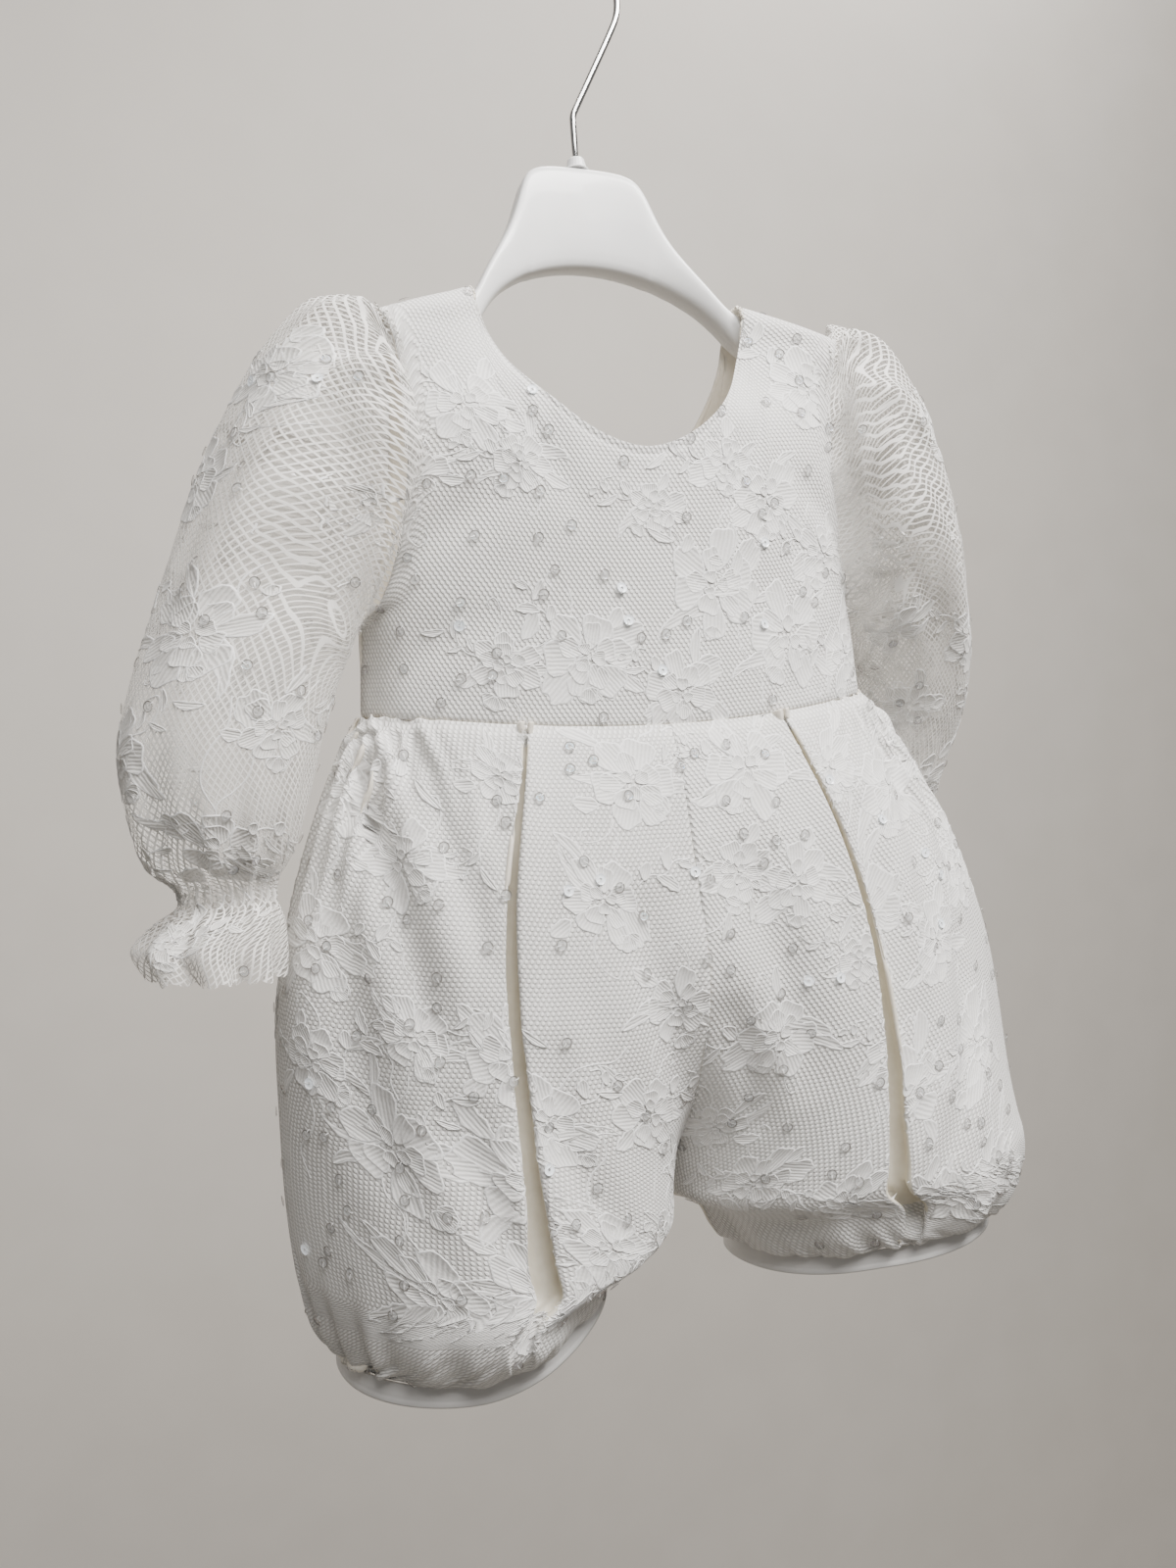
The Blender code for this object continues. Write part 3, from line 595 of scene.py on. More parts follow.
def figure(name, outline, count):
    """A flat figure with a raised cord round it, drawn in millimetres."""
    bm = bmesh.new()
    rim = bmesh.ops.create_circle(bm, cap_ends=True, segments=count, radius=1.0)["verts"]
    for vert in rim:
        x, y = outline(math.atan2(vert.co.y, vert.co.x))
        vert.co = (x, y, 0.0)
    face_up(bm)
    bm.faces.ensure_lookup_table()
    face = bm.faces[0]
    for rise in (CORD_HIGH, RELIEF - CORD_HIGH):
        made = bmesh.ops.inset_individual(
            bm, faces=[face], thickness=CORD / 2, depth=rise, use_even_offset=False
        )
        for cord in made["faces"]:
            cord.material_index = 1
    bmesh.ops.poke(bm, faces=[face])
    return keep_drawing(bm, name)


def stem(name, points):
    """A cord along a smooth line through the given points, in millimetres."""
    line = between(np.array(points, dtype=float), 4)
    side = np.gradient(line, axis=0)[:, ::-1] * np.array((1.0, -1.0))
    side /= np.linalg.norm(side, axis=1, keepdims=True)
    bm = bmesh.new()
    bmesh.ops.create_grid(bm, x_segments=2, y_segments=len(line) - 1, size=1.0)
    for i, vert in enumerate(bm.verts):
        r, c = divmod(i, 3)
        x, y = line[r] + side[r] * (c - 1) * CORD / 2
        vert.co = (x, y, CORD_HIGH if c == 1 else 0.0)
    for face in bm.faces:
        face.material_index = 1
    face_up(bm)
    return keep_drawing(bm, name)


def gather_up(name, parts):
    """Join flat figures, each with its place, turn, size and layer, into one."""
    bm = bmesh.new()
    for mesh, x, y, turn, size, layer in parts:
        start = len(bm.verts)
        bm.from_mesh(mesh)
        bm.verts.ensure_lookup_table()
        move = Matrix.Translation((x, y, layer * LAYER)) @ Matrix.Rotation(turn, 4, "Z")
        scale = Matrix.Diagonal((size, size, 1.0, 1.0))
        bmesh.ops.transform(bm, matrix=move @ scale, verts=bm.verts[start:])
    return keep(bm, name)


def pick(shapes, chance):
    return shapes[int(chance.integers(len(shapes)))]


ROSE_RINGS = ((6, 1.05, 4.6), (5, 0.72, 2.6), (3, 0.44, 0.8))   # petals, size and place outwards


def rose(name, petals, seed):
    """An open rose of three rings of petals, about 34 mm across."""
    chance = np.random.default_rng(seed)
    parts = []
    for ring, (count, size, foot) in enumerate(ROSE_RINGS):
        for i in range(count):
            turn = math.tau * (i + 0.4 * ring + chance.uniform(-0.12, 0.12)) / count
            grow = size * chance.uniform(0.86, 1.12)
            x, y = -math.sin(turn) * foot, math.cos(turn) * foot
            parts.append((pick(petals, chance), x, y, turn, grow, ring + 0.5 * (i % 2)))
    return gather_up(name, parts)


def spray(name, leaves, stems, seed):
    """A curling stem with small leaves to both sides."""
    chance = np.random.default_rng(seed)
    parts = [(pick(stems, chance), 0.0, 0.0, 0.0, 1.0, 1)]
    for i in range(4):
        y = 3.0 + 5.5 * i
        lean = chance.uniform(0.6, 1.15) * (1 if i % 2 else -1)
        shape = pick(leaves, chance)
        parts.append((shape, 0.5 * math.sin(0.4 * y), y, lean, chance.uniform(0.45, 0.75), 2))
    return gather_up(name, parts)


def draw_lace():
    """The figures that the lace is made of."""
    petals = [
        figure("petal_broad", petal(11.0, 13.5, 5, 0.09, 0.3), 22),
        figure("petal_wavy", petal(12.0, 12.0, 4, 0.12, 1.1), 20),
        figure("petal_small", petal(10.0, 11.5, 3, 0.13, 2.0), 18),
        figure("petal_long", petal(13.5, 9.5, 4, 0.12, 2.9), 18),
    ]
    leaves = [
        figure("leaf_toothed", leaf(15.0, 6.8, 9, 0.12, 0.2), 18),
        figure("leaf_slim", leaf(17.0, 4.8, 7, 0.08, -0.3), 16),
        figure("leaf_round", leaf(11.0, 7.0, 5, 0.10, 0.1), 14),
    ]
    clouds = [
        figure("patch_lobed", cloud(20.0, 11.0, 0.4, 0.13), 24),
        figure("patch_bent", cloud(22.0, 7.0, 1.9, 0.12, 0.16), 24),
        figure("patch_slim", cloud(27.0, 6.0, 3.1, 0.14, -0.12), 26),
    ]
    stems = [
        stem("stem_wave", ((0, 0), (1.5, 6), (-1, 12), (2, 18), (0, 25))),
        stem("stem_curl", ((0, 0), (2, 7), (0, 14), (-4, 18), (-7, 15), (-5, 12))),
        stem("stem_hook", ((0, 0), (-2, 6), (1, 13), (6, 16), (8, 12))),
        stem("stem_long", ((0, 0), (3, 9), (1, 18), (-3, 27), (-1, 36))),
        stem("stem_loops", ((0, 0), (2.4, 3), (0, 6), (-2, 3), (0, 0), (1.8, -4), (0, -8), (-2, -4), (0, 0))),
    ]
    roses = [rose("rose_" + str(i), petals, 20 + i) for i in range(4)]
    sprays = [spray("spray_" + str(i), leaves, stems, 40 + i) for i in range(4)]
    bud = gather_up("bud", [(petals[2], 0, 0, t, 0.6, i / 2) for i, t in enumerate((-0.7, 0.7, 0.0))])
    return {"rose": roses, "spray": sprays, "patch": clouds, "leaf": leaves, "stem": stems, "bud": [bud]}


class Map:
    """Finds the place in space of a place on the cut of a cloth."""

    def __init__(self, cloth):
        rows, wide = cloth.u.shape
        flat = np.stack([cloth.u, cloth.v, np.zeros((rows, wide))], axis=2)
        self.flat = flat.reshape(-1, 3)
        self.points = cloth.points.reshape(-1, 3)
        self.normals = cloth.normals().reshape(-1, 3)
        corner = np.array([i * wide + j for i in range(rows - 1) for j in range(wide - 1)])
        one = np.stack([corner, corner + 1, corner + wide + 1], axis=1)
        two = np.stack([corner, corner + wide + 1, corner + wide], axis=1)
        self.corners = np.concatenate([one, two])
        self.wide, self.floor = wide - 1, cloth.floor
        self.tree = BVHTree.FromPolygons(self.flat.tolist(), self.corners.tolist())

    def lay(self, flat):
        """Places in space for flat points of u, v and height; also how far off the cut each is."""
        found = [self.tree.find_nearest((u, v, 0.0)) for u, v, _ in flat]
        near = np.array([f[0][:] for f in found])
        off = np.array([f[3] for f in found])
        if self.floor:
            square = np.array([f[2] for f in found]) % (len(self.corners) // 2)
            row, column = square // self.wide, square % self.wide
            start, end, top, foot = self.floor
            on_floor = (column >= start) & (column < end) & (row >= top) & (row < foot)
            off = np.where(on_floor, 1.0, off)
        three = self.corners[[f[2] for f in found]]
        a, b, c = (self.flat[three[:, k], :2] for k in range(3))
        e1, e2, e3 = b - a, c - a, near[:, :2] - a
        area = e1[:, 0] * e2[:, 1] - e1[:, 1] * e2[:, 0]
        area = np.where(np.abs(area) < 1e-14, 1e-14, area)
        wb = (e3[:, 0] * e2[:, 1] - e3[:, 1] * e2[:, 0]) / area
        wc = (e1[:, 0] * e3[:, 1] - e1[:, 1] * e3[:, 0]) / area
        weights = np.clip(np.stack([1 - wb - wc, wb, wc], axis=1), 0.0, 1.0)
        weights /= weights.sum(axis=1, keepdims=True)
        place = (self.points[three] * weights[:, :, None]).sum(axis=1)
        out = (self.normals[three] * weights[:, :, None]).sum(axis=1)
        out /= np.linalg.norm(out, axis=1, keepdims=True)
        return place + out * flat[:, 2:3], off


# Where the lace is drawn thick on each piece: u and v on the cut and how far the figures reach,
# in millimetres. Between them is plain net.
CLUSTERS = {
    "bodice_front": (
        (-72, 116, 17), (-52, 96, 12), (-30, 26, 18), (6, 12, 16), (24, 52, 20), (52, 84, 16),
        (58, 30, 21), (84, 128, 17), (34, 98, 12), (-62, 22, 13), (82, 60, 13), (92, 18, 15),
        (-92, 92, 12), (0, 82, 10),
    ),
    "bodice_back": (
        (24, 22, 18), (58, 44, 20), (90, 20, 14), (30, 72, 15), (78, 88, 18), (52, 120, 15),
        (90, 128, 14), (14, 46, 11),
    ),
    "shorts_front_right": (
        (20, -22, 18), (38, -64, 16), (12, -104, 13), (30, -142, 16), (14, -176, 13),
        (150, -26, 18), (124, -52, 16), (160, -84, 17), (96, -118, 17), (128, -112, 14),
        (70, -140, 16), (104, -160, 22), (146, -150, 20), (76, -186, 16), (124, -196, 19),
        (160, -196, 17), (96, -206, 12), (44, -196, 13), (82, -20, 11), (168, -124, 13),
    ),
    "shorts_front_left": (
        (26, -20, 20), (40, -66, 14), (16, -58, 12), (28, -122, 16), (12, -160, 12),
        (78, -26, 15), (112, -40, 20), (150, -30, 16), (86, -84, 21), (124, -104, 16),
        (160, -84, 15), (78, -134, 14), (104, -156, 18), (146, -150, 19), (40, -182, 14),
        (80, -190, 15), (128, -200, 17), (164, -196, 14), (62, -100, 10),
    ),
    "shorts_back": (
        (22, -24, 18), (62, -40, 20), (110, -26, 18), (36, -80, 15), (92, -84, 19), (130, -70, 14),
        (20, -124, 14), (64, -122, 18), (118, -126, 19), (40, -166, 17), (88, -168, 20),
        (130, -176, 16), (62, -202, 14), (110, -206, 14), (150, -110, 13),
    ),
    "sleeve": (
        (-22, 196, 17), (26, 186, 15), (-4, 158, 16), (-52, 150, 15), (48, 138, 15), (14, 112, 17),
        (-32, 96, 18), (60, 84, 14), (-66, 62, 13), (-8, 56, 16), (30, 48, 15), (64, 24, 13),
        (-40, 22, 16), (4, 10, 12), (-74, 112, 12), (78, 150, 12), (-20, -16, 9), (30, -16, 9),
    ),
}
ROSE_REACH = 17.0           # a rose's own reach, in millimetres
AROUND = ("patch", "leaf", "stem", "spray", "patch", "bud", "stem", "leaf")     # round each rose


def lace_parts(node, figures):
    """The figures of one piece: each with its place, turn, size and layer."""
    parts = []
    for u, v, reach in for_piece(CLUSTERS, node):
        size = reach / ROSE_REACH
        parts.append((pick(figures["rose"], RANDOM), u, v, RANDOM.uniform(0, math.tau), size, 1.5))
        for i, kind in enumerate(AROUND):
            turn = math.tau * (i + RANDOM.uniform(0.1, 0.9)) / len(AROUND)
            away = reach * RANDOM.uniform(0.62, 0.95)
            x, y = u + away * math.cos(turn), v + away * math.sin(turn)
            lean = turn - math.pi / 2 + RANDOM.uniform(-0.6, 0.6)
            shape = pick(figures[kind], RANDOM)
            parts.append((shape, x, y, lean, RANDOM.uniform(0.75, 1.1) * size ** 0.5, i % 2))
    return parts


CUT_SLACK = 0.4 * MM        # a figure may reach this far past the edge of the cut
PULL, PULL_SLACK = 1.8, 0.3 * MM    # a longer side than this has been pulled across a fold


def dress(cloth, figures, finishes):
    """Lay the lace's figures on a cloth, cut off at its edges."""
    flat = gather_up(cloth.name + "_flat", lace_parts(cloth.name, figures))
    bm = bmesh.new()
    bm.from_mesh(flat)
    bpy.data.meshes.remove(flat)
    places = np.array([(v.co.x * MM, v.co.y * MM, v.co.z * MM) for v in bm.verts])
    laid, off = Map(cloth).lay(places)
    uv = bm.loops.layers.uv.new("cut")
    outside = off > CUT_SLACK
    dead = []
    for face in bm.faces:
        for loop in face.loops:
            loop[uv].uv = places[loop.vert.index][:2]
        if sum(outside[v.index] for v in face.verts) > len(face.verts) / 2:
            dead.append(face)
            continue
        ring = [v.index for v in face.verts]
        after = ring[1:] + ring[:1]
        drawn = np.linalg.norm(places[ring] - places[after], axis=1)
        if (np.linalg.norm(laid[ring] - laid[after], axis=1) > PULL * drawn + PULL_SLACK).any():
            dead.append(face)
    for vert, place in zip(bm.verts, laid):
        vert.co = place
    bmesh.ops.delete(bm, geom=dead, context="FACES")
    name = cloth.name + "_lace"
    return add_piece(name, keep(bm, name), finishes)


# Sequins

SEQUIN_RINGS = ((2.0, 0.34), (1.62, 0.16), (1.0, 0.1), (0.55, 0.22))    # radius and height
SEQUIN_STEPS = 12
SEQUIN_AREA = 400.0         # square millimetres of cloth to each sequin
# Where most sequins are bright copies with a painted glint: the middle on the cut and the reach, in
# millimetres
PAINTED_GLINT_SPOTS = {
    "bodice_front": (16, 44, 44),
    "shorts_front_right": (26, -58, 30),
    "shorts_front_left": (70, -66, 52),
    "sleeve_right": (-10, 205, 30),
}
SHINE_SHARE, SHINE_ELSEWHERE = 0.55, 0.05   # how many of them are, there and elsewhere
SEQUIN_ROOM = 7.5           # least distance between two of them
SEQUIN_SEAT = 0.6 * MM      # above the cloth
SEQUIN_TILT = 0.13


def sequin(bright):
    """A small cupped ring with a hole for its stitch, and the stitch over its edge."""
    bm = bmesh.new()
    (radius, high), *inner = SEQUIN_RINGS
    rim = bmesh.ops.create_circle(bm, cap_ends=False, segments=SEQUIN_STEPS, radius=radius)["verts"]
    bmesh.ops.translate(bm, verts=rim, vec=(0, 0, high))
    edges = list(bm.edges)
    for k, (radius, high) in enumerate(inner):
        made = bmesh.ops.extrude_edge_only(bm, edges=edges)["geom"]
        edges = [g for g in made if isinstance(g, bmesh.types.BMEdge)]
        for vert in {v for e in edges for v in e.verts}:
            flat = Vector((vert.co.x, vert.co.y)).normalized() * radius
            vert.co = (flat.x, flat.y, high)
        for face in [g for g in made if isinstance(g, bmesh.types.BMFace)]:
            # a clear sequin's outer ring takes the painted dark rim; a bright sequin is painted glint all
            # over
            face.material_index = 2 if bright else (0 if k == 0 else 1)
    bmesh.ops.recalc_face_normals(bm, faces=bm.faces)
    stitch = bmesh.ops.create_grid(bm, x_segments=1, y_segments=3, size=1.0)["verts"]
    for i, vert in enumerate(stitch):
        row, side = divmod(i, 2)
        vert.co = ((side - 0.5) * 0.34, (0.1, 0.9, 1.7, 2.5)[row], (-0.1, 0.36, 0.52, 0.0)[row])
        for face in vert.link_faces:
            face.material_index = 3
    return keep(bm, "sequin_bright" if bright else "sequin_clear")


def sequin_places(u0, u1, v0, v1):
    """Scattered places on the cut, none too near another."""
    wanted = int((u1 - u0) * (v1 - v0) / (SEQUIN_AREA * MM * MM))
    found = []
    for _ in range(wanted * 30):
        if len(found) >= wanted:
            break
        place = np.array((RANDOM.uniform(u0, u1), RANDOM.uniform(v0, v1)))
        if all(np.linalg.norm(place - other) > SEQUIN_ROOM * MM for other in found):
            found.append(place)
    return found


def sew_sequins(cloth, finishes):
    clear, bright = sequin(False), sequin(True)
    places = sequin_places(cloth.u.min(), cloth.u.max(), cloth.v.min(), cloth.v.max())
    flat = np.array([(u, v, SEQUIN_SEAT) for u, v in places])
    ahead = flat + np.array((0.5 * MM, 0.0, 0.0))
    above = flat + np.array((0.0, 0.0, 1.0 * MM))
    seats = Map(cloth)
    (at, off), (side, _), (top, _) = seats.lay(flat), seats.lay(ahead), seats.lay(above)
    bm = bmesh.new()
    shine = PAINTED_GLINT_SPOTS.get(cloth.name, (0, 0, 0))
    for (u, v), place, across, up, miss in zip(places, at, side, top, off):
        if miss > 0.0 or np.linalg.norm(across - place) < 0.1 * MM:
            continue
        z = Vector(up - place).normalized()
        x = Vector(across - place)
        x = (x - x.dot(z) * z).normalized()
        turn = Matrix((x, z.cross(x), z)).transposed()
        tilt = Matrix.Rotation(RANDOM.normal(0.0, SEQUIN_TILT), 3, "X")
        tilt = tilt @ Matrix.Rotation(RANDOM.normal(0.0, SEQUIN_TILT), 3, "Y")
        spin = Matrix.Rotation(RANDOM.uniform(0, math.tau), 3, "Z")
        start = len(bm.verts)
        near = math.hypot(u / MM - shine[0], v / MM - shine[1]) < shine[2]
        bm.from_mesh(bright if RANDOM.random() < (SHINE_SHARE if near else SHINE_ELSEWHERE) else clear)
        bm.verts.ensure_lookup_table()
        move = (turn @ tilt @ spin * MM).to_4x4()
        move.translation = Vector(place)
        bmesh.ops.transform(bm, matrix=move, verts=bm.verts[start:])
    name = cloth.name + "_sequins"
    return add_piece(name, keep(bm, name), finishes)


# Materials


def constants(node, values):
    for name, value in values.items():
        node.inputs[name].default_value = value


WOBBLE = 0.0012             # how far the net strays, in metres


class Finish:
    """A material in the making: its nodes, up to the shader that they end in."""

    def __init__(self, name):
        self.made = bpy.data.materials.new(name)
        self.made.use_nodes = True
        self.nodes, self.links = self.made.node_tree.nodes, self.made.node_tree.links
        self.shader = self.nodes["Principled BSDF"]

    def link(self, value, name):
        self.links.new(value, self.shader.inputs[name])

    def math(self, operation, *values):
        node = self.nodes.new("ShaderNodeMath")
        node.operation = operation
        for socket, value in zip(node.inputs, values):
            if isinstance(value, (int, float)):
                socket.default_value = value
            else:
                self.links.new(value, socket)
        return node.outputs[0]

    def ramp(self, value, low, high, to_low=0.0, to_high=1.0):
        node = self.nodes.new("ShaderNodeMapRange")
        node.interpolation_type = "SMOOTHSTEP"
        self.links.new(value, node.inputs["Value"])
        constants(node, {"From Min": low, "From Max": high, "To Min": to_low, "To Max": to_high})
        return node.outputs["Result"]

    def mix(self, share, one, two):
        node = self.nodes.new("ShaderNodeMix")
        node.data_type = "RGBA"
        self.links.new(share, node.inputs[0])
        for socket, value in ((node.inputs[6], one), (node.inputs[7], two)):
            if isinstance(value, tuple):
                socket.default_value = (*value, 1.0)
            else:
                self.links.new(value, socket)
        return node.outputs[2]

    def bump(self, height, distance):
        node = self.nodes.new("ShaderNodeBump")
        node.inputs["Distance"].default_value = distance
        self.links.new(height, node.inputs["Height"])
        self.link(node.outputs["Normal"], "Normal")

    def noise(self, place, scale, detail=2.0):
        node = self.nodes.new("ShaderNodeTexNoise")
        constants(node, {"Scale": scale, "Detail": detail})
        self.links.new(place, node.inputs["Vector"])
        return node.outputs

    def own_place(self):
        return self.nodes.new("ShaderNodeTexCoord").outputs["Object"]

    def drawing(self, name):
        """The place on one of the piece's own maps."""
        node = self.nodes.new("ShaderNodeUVMap")
        node.uv_map = name
        return node.outputs["UV"]

    def cut_place(self):
        """The place on the cut, very slightly uneven, as net is never quite straight."""
        cut = self.drawing("cut")
        add = self.nodes.new("ShaderNodeVectorMath")
        add.operation = "MULTIPLY_ADD"
        self.links.new(self.noise(cut, 55.0, 1.0)["Color"], add.inputs[0])
        add.inputs[1].default_value = (WOBBLE, WOBBLE, 0.0)
        self.links.new(cut, add.inputs[2])
        return add.outputs["Vector"]


NET_ACROSS = 2.05 * MM      # from hole to hole of the net
NET_DOWN = 1.6 * MM         # from row to row


def run_of_threads(finish, place, i, j):
    """A wave across one run of the net's threads."""
    dot = finish.nodes.new("ShaderNodeVectorMath")
    dot.operation = "DOT_PRODUCT"
    finish.links.new(place, dot.inputs[0])
    dot.inputs[1].default_value = (math.tau * i / NET_ACROSS, math.tau * j / NET_DOWN, 0.0)
    return finish.math("COSINE", dot.outputs["Value"])


def net_wave(finish, place, slants):
    """Honeycomb net: high in the middle of each hole and low along the threads.

    slants are the strengths of its three runs of threads: the one that leans down to the right,
    the one that leans down to the left, and the level one.
    """
    total = None
    for (i, j), strength in zip(((1.0, 0.5), (1.0, -0.5), (0.0, 1.0)), slants):
        wave = run_of_threads(finish, place, i, j)
        wave = finish.math("MULTIPLY", wave, strength)
        total = wave if total is None else finish.math("ADD", total, wave)
    return total


def lining_finish():
    finish = Finish("ivory_lining")
    weave = finish.noise(finish.cut_place(), 420.0)["Fac"]
    shade = finish.ramp(weave, 0.35, 0.65)
    finish.link(finish.mix(shade, (0.76, 0.71, 0.61), (0.80, 0.75, 0.66)), "Base Color")
    finish.bump(weave, 0.0001)
    # painted glow: the lining gives off a little warm light of its own, which brightens it where it lies in
    # shade
    painted_glow = {"Emission Color": (1.0, 0.93, 0.8, 1.0), "Emission Strength": 0.07}
    constants(finish.shader, {"Roughness": 0.5, "Sheen Weight": 0.15, **painted_glow})
    return finish.made


def net_over_lining():
    """Lace net seen over its ivory lining: pale holes, and threads painted grey for the shade that they cast
    round them.
    """
    finish = Finish("lace_over_lining")
    place = finish.cut_place()
    wave = net_wave(finish, place, (1.5, 0.8, 0.7))
    hole = finish.ramp(wave, -1.3, 1.6)
    thick = finish.ramp(finish.noise(place, 26.0, 3.0)["Fac"], 0.35, 0.7)
    # painted shade: the white threads take grey tones for the shadow that they cast on the lining
    thread = finish.mix(thick, (0.62, 0.605, 0.585), (0.725, 0.715, 0.695))
    finish.link(finish.mix(hole, thread, (0.94, 0.93, 0.905)), "Base Color")
    finish.bump(hole, 0.0003)
    constants(finish.shader, {"Roughness": 0.72, "Sheen Weight": 0.2, "Sheen Roughness": 0.5})
    return finish.made


def open_net():
    """The same net with nothing behind it, open between its threads."""
    finish = Finish("open_net")
    place = finish.cut_place()
    one = run_of_threads(finish, place, 0.84, 0.42)
    two = run_of_threads(finish, place, 0.84, -0.42)
    wave = finish.math("MAXIMUM", one, two)
    thread = finish.ramp(wave, 0.45, 0.85, 0.1, 1.0)
    finish.link(thread, "Alpha")
    finish.bump(thread, 0.00008)
    constants(finish.shader, {"Base Color": (0.84, 0.82, 0.785, 1.0), "Roughness": 0.7, "Sheen Weight": 0.2})
    return finish.made


LINED_TONES = ((0.73, 0.72, 0.7), (0.88, 0.87, 0.85))
SHEER_TONES = ((0.66, 0.645, 0.615), (0.82, 0.805, 0.775))


def clothwork(name, low, high, solid=None):
    """Close stitching inside the figures: fine ribs that run along each petal and leaf.

    low and high are its two tones; solid is how much of the light its thickest threads stop.
    """
    finish = Finish(name)
    place = finish.cut_place()
    ribs = finish.nodes.new("ShaderNodeTexWave")
    ribs.bands_direction = "X"
    constants(ribs, {"Scale": 230.0, "Distortion": 2.0, "Detail": 1.0})
    finish.links.new(finish.drawing("stitch"), ribs.inputs["Vector"])
    grain = finish.noise(place, 900.0)["Fac"]
    both = finish.math("ADD", ribs.outputs["Fac"], grain)
    tone = finish.ramp(both, 0.5, 1.4)
    finish.link(finish.mix(tone, low, high), "Base Color")
    if solid:
        finish.link(finish.ramp(both, 0.3, 0.9, solid - 0.2, solid), "Alpha")
    finish.bump(both, 0.0001)
    constants(finish.shader, {"Roughness": 0.65, "Sheen Weight": 0.2})
    return finish.made


def cord_finish():
    finish = Finish("bright_cord")
    twist = finish.noise(finish.cut_place(), 1400.0)["Fac"]
    tone = finish.ramp(twist, 0.3, 0.7)
    colour = finish.mix(tone, (0.84, 0.835, 0.825), (0.96, 0.955, 0.945))
    finish.link(colour, "Base Color")
    finish.bump(twist, 0.00012)
    constants(finish.shader, {"Roughness": 0.45})
    return finish.made


def sequin_finish(name, colour, alpha, rough, film, glow=0.0):
    finish = Finish(name)
    tone = finish.ramp(finish.noise(finish.own_place(), 160.0)["Fac"], 0.3, 0.7)
    tinted = tuple(c * k for c, k in zip(colour, (0.94, 0.98, 1.0)))
    finish.link(finish.mix(tone, tinted, colour), "Base Color")
    # glow is painted light: emission that makes a sequin give off light of its own, as a glint
    constants(finish.shader, {
        "Alpha": alpha, "Roughness": rough, "Thin Film Thickness": film, "Coat Weight": 0.6,
        "Emission Color": (*colour, 1.0), "Emission Strength": glow,
    })
    return finish.made


def plain_finish(name, one, two, scale, rough, depth, metallic=0.0, coat=0.0):
    """Moulded or woven surface with a fine uneven grain."""
    finish = Finish(name)
    grain = finish.noise(finish.own_place(), scale, 4.0)["Fac"]
    tone = finish.ramp(grain, 0.3, 0.7)
    finish.link(finish.mix(tone, one, two), "Base Color")
    gloss = finish.ramp(grain, 0.3, 0.7, rough - 0.05, rough + 0.05)
    finish.link(gloss, "Roughness")
    finish.bump(grain, depth)
    constants(finish.shader, {"Metallic": metallic, "Coat Weight": coat})
    return finish.made


# Pieces


def away_from(x, y):
    """Directions outwards from an upright line, for telling the outer side of a piece."""
    return lambda points: (points - np.array((x, y, 0.0))) * np.array((1.0, 1.0, 0.0))


def make_cloths():
    """The grid of each cloth piece; its last numbers are the column and the row where u and v start."""
    made = {}
    ends = (lambda p: p.z - p.x, lambda p: p.z + p.x)
    grid = panel_grid("bodice_front", LACE_WALL, ends)
    made["bodice_front"] = Cloth("bodice_front", grid, away_from(0, 0), 14, 12)
    for name, side in SIDES.items():
        ends = (lambda p: p.z - 3 * side * p.x, lambda p: p.z + side * p.x)
        node = "bodice_back_" + name
        made[node] = Cloth(node, panel_grid(node, LACE_WALL, ends), away_from(0, 0), 0, 12)
        ends = (lambda p: p.z - side * p.x / 2, lambda p: p.z + side * p.x)
        for part in ("front", "back"):
            node = "shorts_" + part + "_" + name
            made[node] = Cloth(node, panel_grid(node, LACE_WALL, ends), away_from(side * 0.05, 0), 0, 0)
        node = "sleeve_" + name
        ring = tube_grid(node, SLEEVE_WALL, lambda p: -p.z)
        made[node] = Cloth(node, ring, away_from(side * 0.15, 0), 18, 12, tube=True)
    return made


def make_bands(satin_with_painted_shade):
    pieces = []
    for name, side in SIDES.items():
        node = "leg_band_" + name
        ring = tube_grid(node, BAND_WALL, lambda p: side * p.x)
        middle = ring.mean(axis=(0, 1))
        cloth = Cloth(node, ring, away_from(middle[0], middle[1]), 24, 1, tube=True)
        share = cloth.v / cloth.v.max()
        cloth.press(0.5 * MM * np.exp(-(share / 0.12) ** 2))            # turned in at its foot
        cloth.press(0.35 * MM * np.exp(-((share - 0.3) / 0.05) ** 2))   # a row of stitches
        pieces.append((cloth, shell(cloth, [satin_with_painted_shade, satin_with_painted_shade], BAND_SHELL)))
    return pieces


def refined(node, name, finish):
    """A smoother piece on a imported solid's own form."""
    bm = bmesh.new()
    bm.from_mesh(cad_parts[node].data)
    bmesh.ops.remove_doubles(bm, verts=bm.verts, dist=MERGE)
    bmesh.ops.dissolve_limit(bm, angle_limit=math.radians(0.5), verts=bm.verts, edges=bm.edges)
    piece = add_piece(name, keep(bm, name), [finish])
    soft = piece.modifiers.new("round", "SUBSURF")
    soft.levels = soft.render_levels = 2
    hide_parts(node)


LEAST_STRIP = 10.0 * MM     # a band is cut from a strip at least this tall


def declare(cloth):
    """Work out a sheet's flat size from the lengths along it; the size is not kept or stated anywhere."""
    wide = float(cloth.u.max() - cloth.u.min())
    tall = max(float(cloth.v.max() - cloth.v.min()), LEAST_STRIP)
    p = cloth.points
    one = np.linalg.norm(np.cross(p[1:, :-1] - p[:-1, :-1], p[:-1, 1:] - p[:-1, :-1]), axis=2)
    two = np.linalg.norm(np.cross(p[1:, :-1] - p[1:, 1:], p[:-1, 1:] - p[1:, 1:]), axis=2)
    area = float((one + two).sum() / 2)
    area = min(area, wide * tall)


WALL_BACK, FLOOR_DOWN = 1.15, 2.1   # far enough to walk round the romper
STAGE_HALF = 4.0


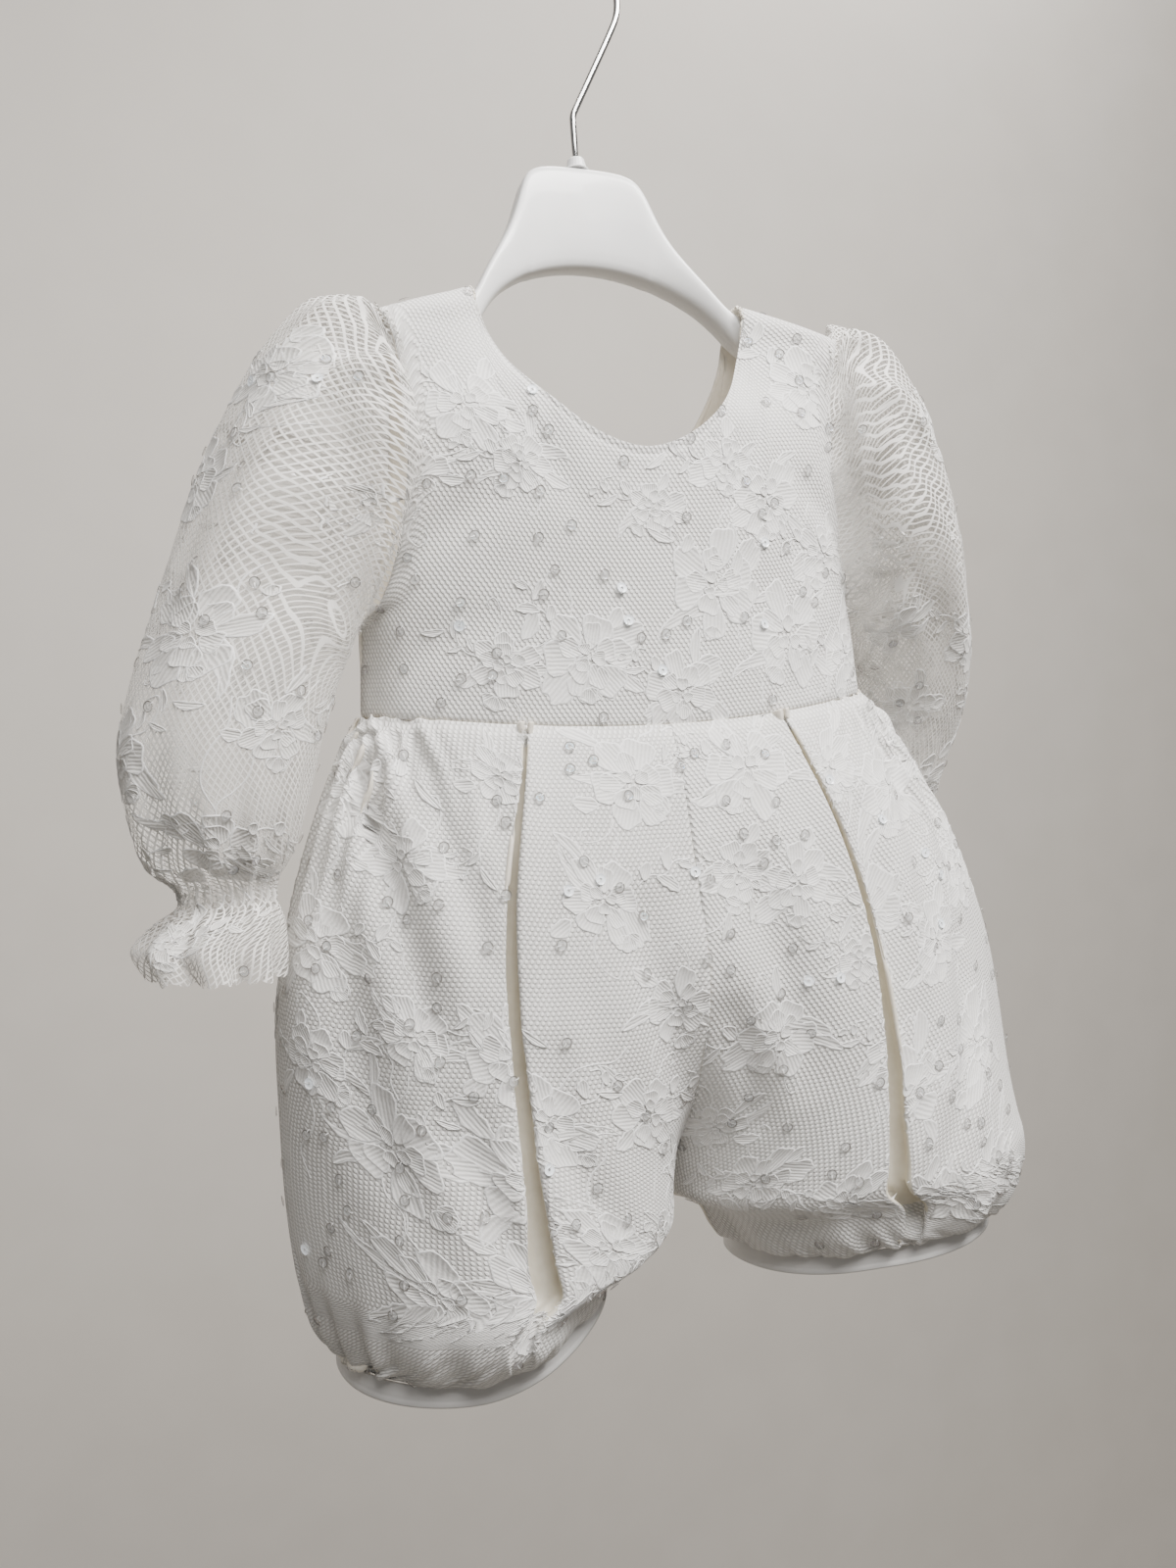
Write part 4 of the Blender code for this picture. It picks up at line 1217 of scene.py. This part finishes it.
def make_stage():
    paint = plain_finish("wall_paint", (0.66, 0.625, 0.575), (0.68, 0.645, 0.595), 12.0, 0.85, 0.0003)
    boards = plain_finish("floor_paint", (0.50, 0.47, 0.43), (0.53, 0.5, 0.46), 9.0, 0.8, 0.0003)
    sides = (
        ("wall", "X", (0.0, WALL_BACK, 0.0), paint),
        ("floor", "Z", (0.0, 0.0, -FLOOR_DOWN), boards),
    )
    for name, turn, place, finish in sides:
        bm = bmesh.new()
        bmesh.ops.create_grid(bm, x_segments=1, y_segments=1, size=STAGE_HALF)
        bmesh.ops.rotate(bm, verts=bm.verts, matrix=Matrix.Rotation(math.pi / 2, 3, turn))
        bmesh.ops.translate(bm, verts=bm.verts, vec=place)
        mesh = keep(bm, name)
        mesh.materials.append(finish)
        show(name, mesh)


# Each light: its place, what it is aimed at, its size in metres and its power in watts
LIGHTS = {
    "ceiling_light": ((0.5, -0.6, 0.62), (0.0, 0.0, -0.1), 0.5, 29.0),
    "room_light": ((0.05, -0.9, 0.76), (0.0, 0.0, -0.1), 0.9, 26.0),
    "wall_light": ((0.95, 0.72, 1.6), (0.95, 0.73, 0.0), 0.9, 36.0),
}
LIGHT_TINT = (1.0, 0.975, 0.95)
ROOM_TINT, ROOM_STRENGTH = (1.0, 0.98, 0.95, 1.0), 0.17


def make_light():
    world = bpy.data.worlds.new("room")
    bpy.context.scene.world = world
    world.use_nodes = True
    constants(world.node_tree.nodes["Background"], {"Color": ROOM_TINT, "Strength": ROOM_STRENGTH})
    for name, (place, target, size, power) in LIGHTS.items():
        data = bpy.data.lights.new(name, "AREA")
        data.size = size
        data.color = LIGHT_TINT
        data.energy = power
        light = show(name, data)
        light.location = place
        aim = Vector(target) - Vector(place)
        light.rotation_euler = aim.to_track_quat("-Z", "Y").to_euler()


# The romper

make_camera()
lining, lace, net = lining_finish(), net_over_lining(), open_net()
# the pleat's ivory underlay, partly its own colour and partly painted shade: darkened for the shade deep in
# the pleat
underlay_with_painted_shade = plain_finish("pleat_underlay", (0.72, 0.675, 0.57), (0.77, 0.73, 0.63), 300.0, 0.55, 0.0001)
cord = cord_finish()
thick = clothwork("clothwork", *LINED_TONES)
sheer = clothwork("clothwork_sheer", *SHEER_TONES, 0.96)
sequin_set = [
    # painted shade: the dark outer ring of a clear sequin stands for the darkening at the edge of clear
    # plastic
    sequin_finish("sequin_rim", (0.21, 0.195, 0.18), 0.88, 0.3, 0.0),
    sequin_finish("sequin_clear", (0.56, 0.55, 0.54), 0.45, 0.12, 380.0),
    # painted glint: near-white sequins that glow faintly, standing in for flashes of the lamps
    sequin_finish("sequin_pearl", (0.94, 0.97, 1.0), 1.0, 0.3, 0.0, 0.3),
    cord,
]
# white satin of the leg bands, partly its own tone and partly painted shade: darkened for the shaded
# underside of the bands
satin_with_painted_shade = plain_finish("white_satin", (0.74, 0.73, 0.715), (0.77, 0.76, 0.745), 90.0, 0.42, 0.0001)
white = ((0.86, 0.86, 0.855), (0.88, 0.88, 0.875))
plastic = plain_finish("white_plastic", *white, 45.0, 0.32, 0.00008, coat=0.2)
chrome = plain_finish("chrome", (0.80, 0.80, 0.80), (0.84, 0.84, 0.84), 60.0, 0.09, 0.00001, metallic=1.0)

figures = draw_lace()
cloths = make_cloths()
shape_cloths(cloths)
for node, cloth in cloths.items():
    sleeve = node.startswith("sleeve")
    if sleeve:
        piece = shell(cloth, [net], 0)
    else:
        piece = shell(cloth, [lace, underlay_with_painted_shade, lining] if cloth.floor else [lace, lining])
    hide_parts(node)
    flowers = dress(cloth, figures, [sheer if sleeve else thick, cord])
    beads = sew_sequins(cloth, sequin_set)
    declare(cloth)
for cloth, piece in make_bands(satin_with_painted_shade):
    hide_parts(cloth.name)
    declare(cloth)
refined("hanger_body", "hanger_moulding", plastic)
refined("hanger_hook", "hook_wire", chrome)
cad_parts["hanger_collar"].material_slots[0].material = plastic
make_stage()
make_light()
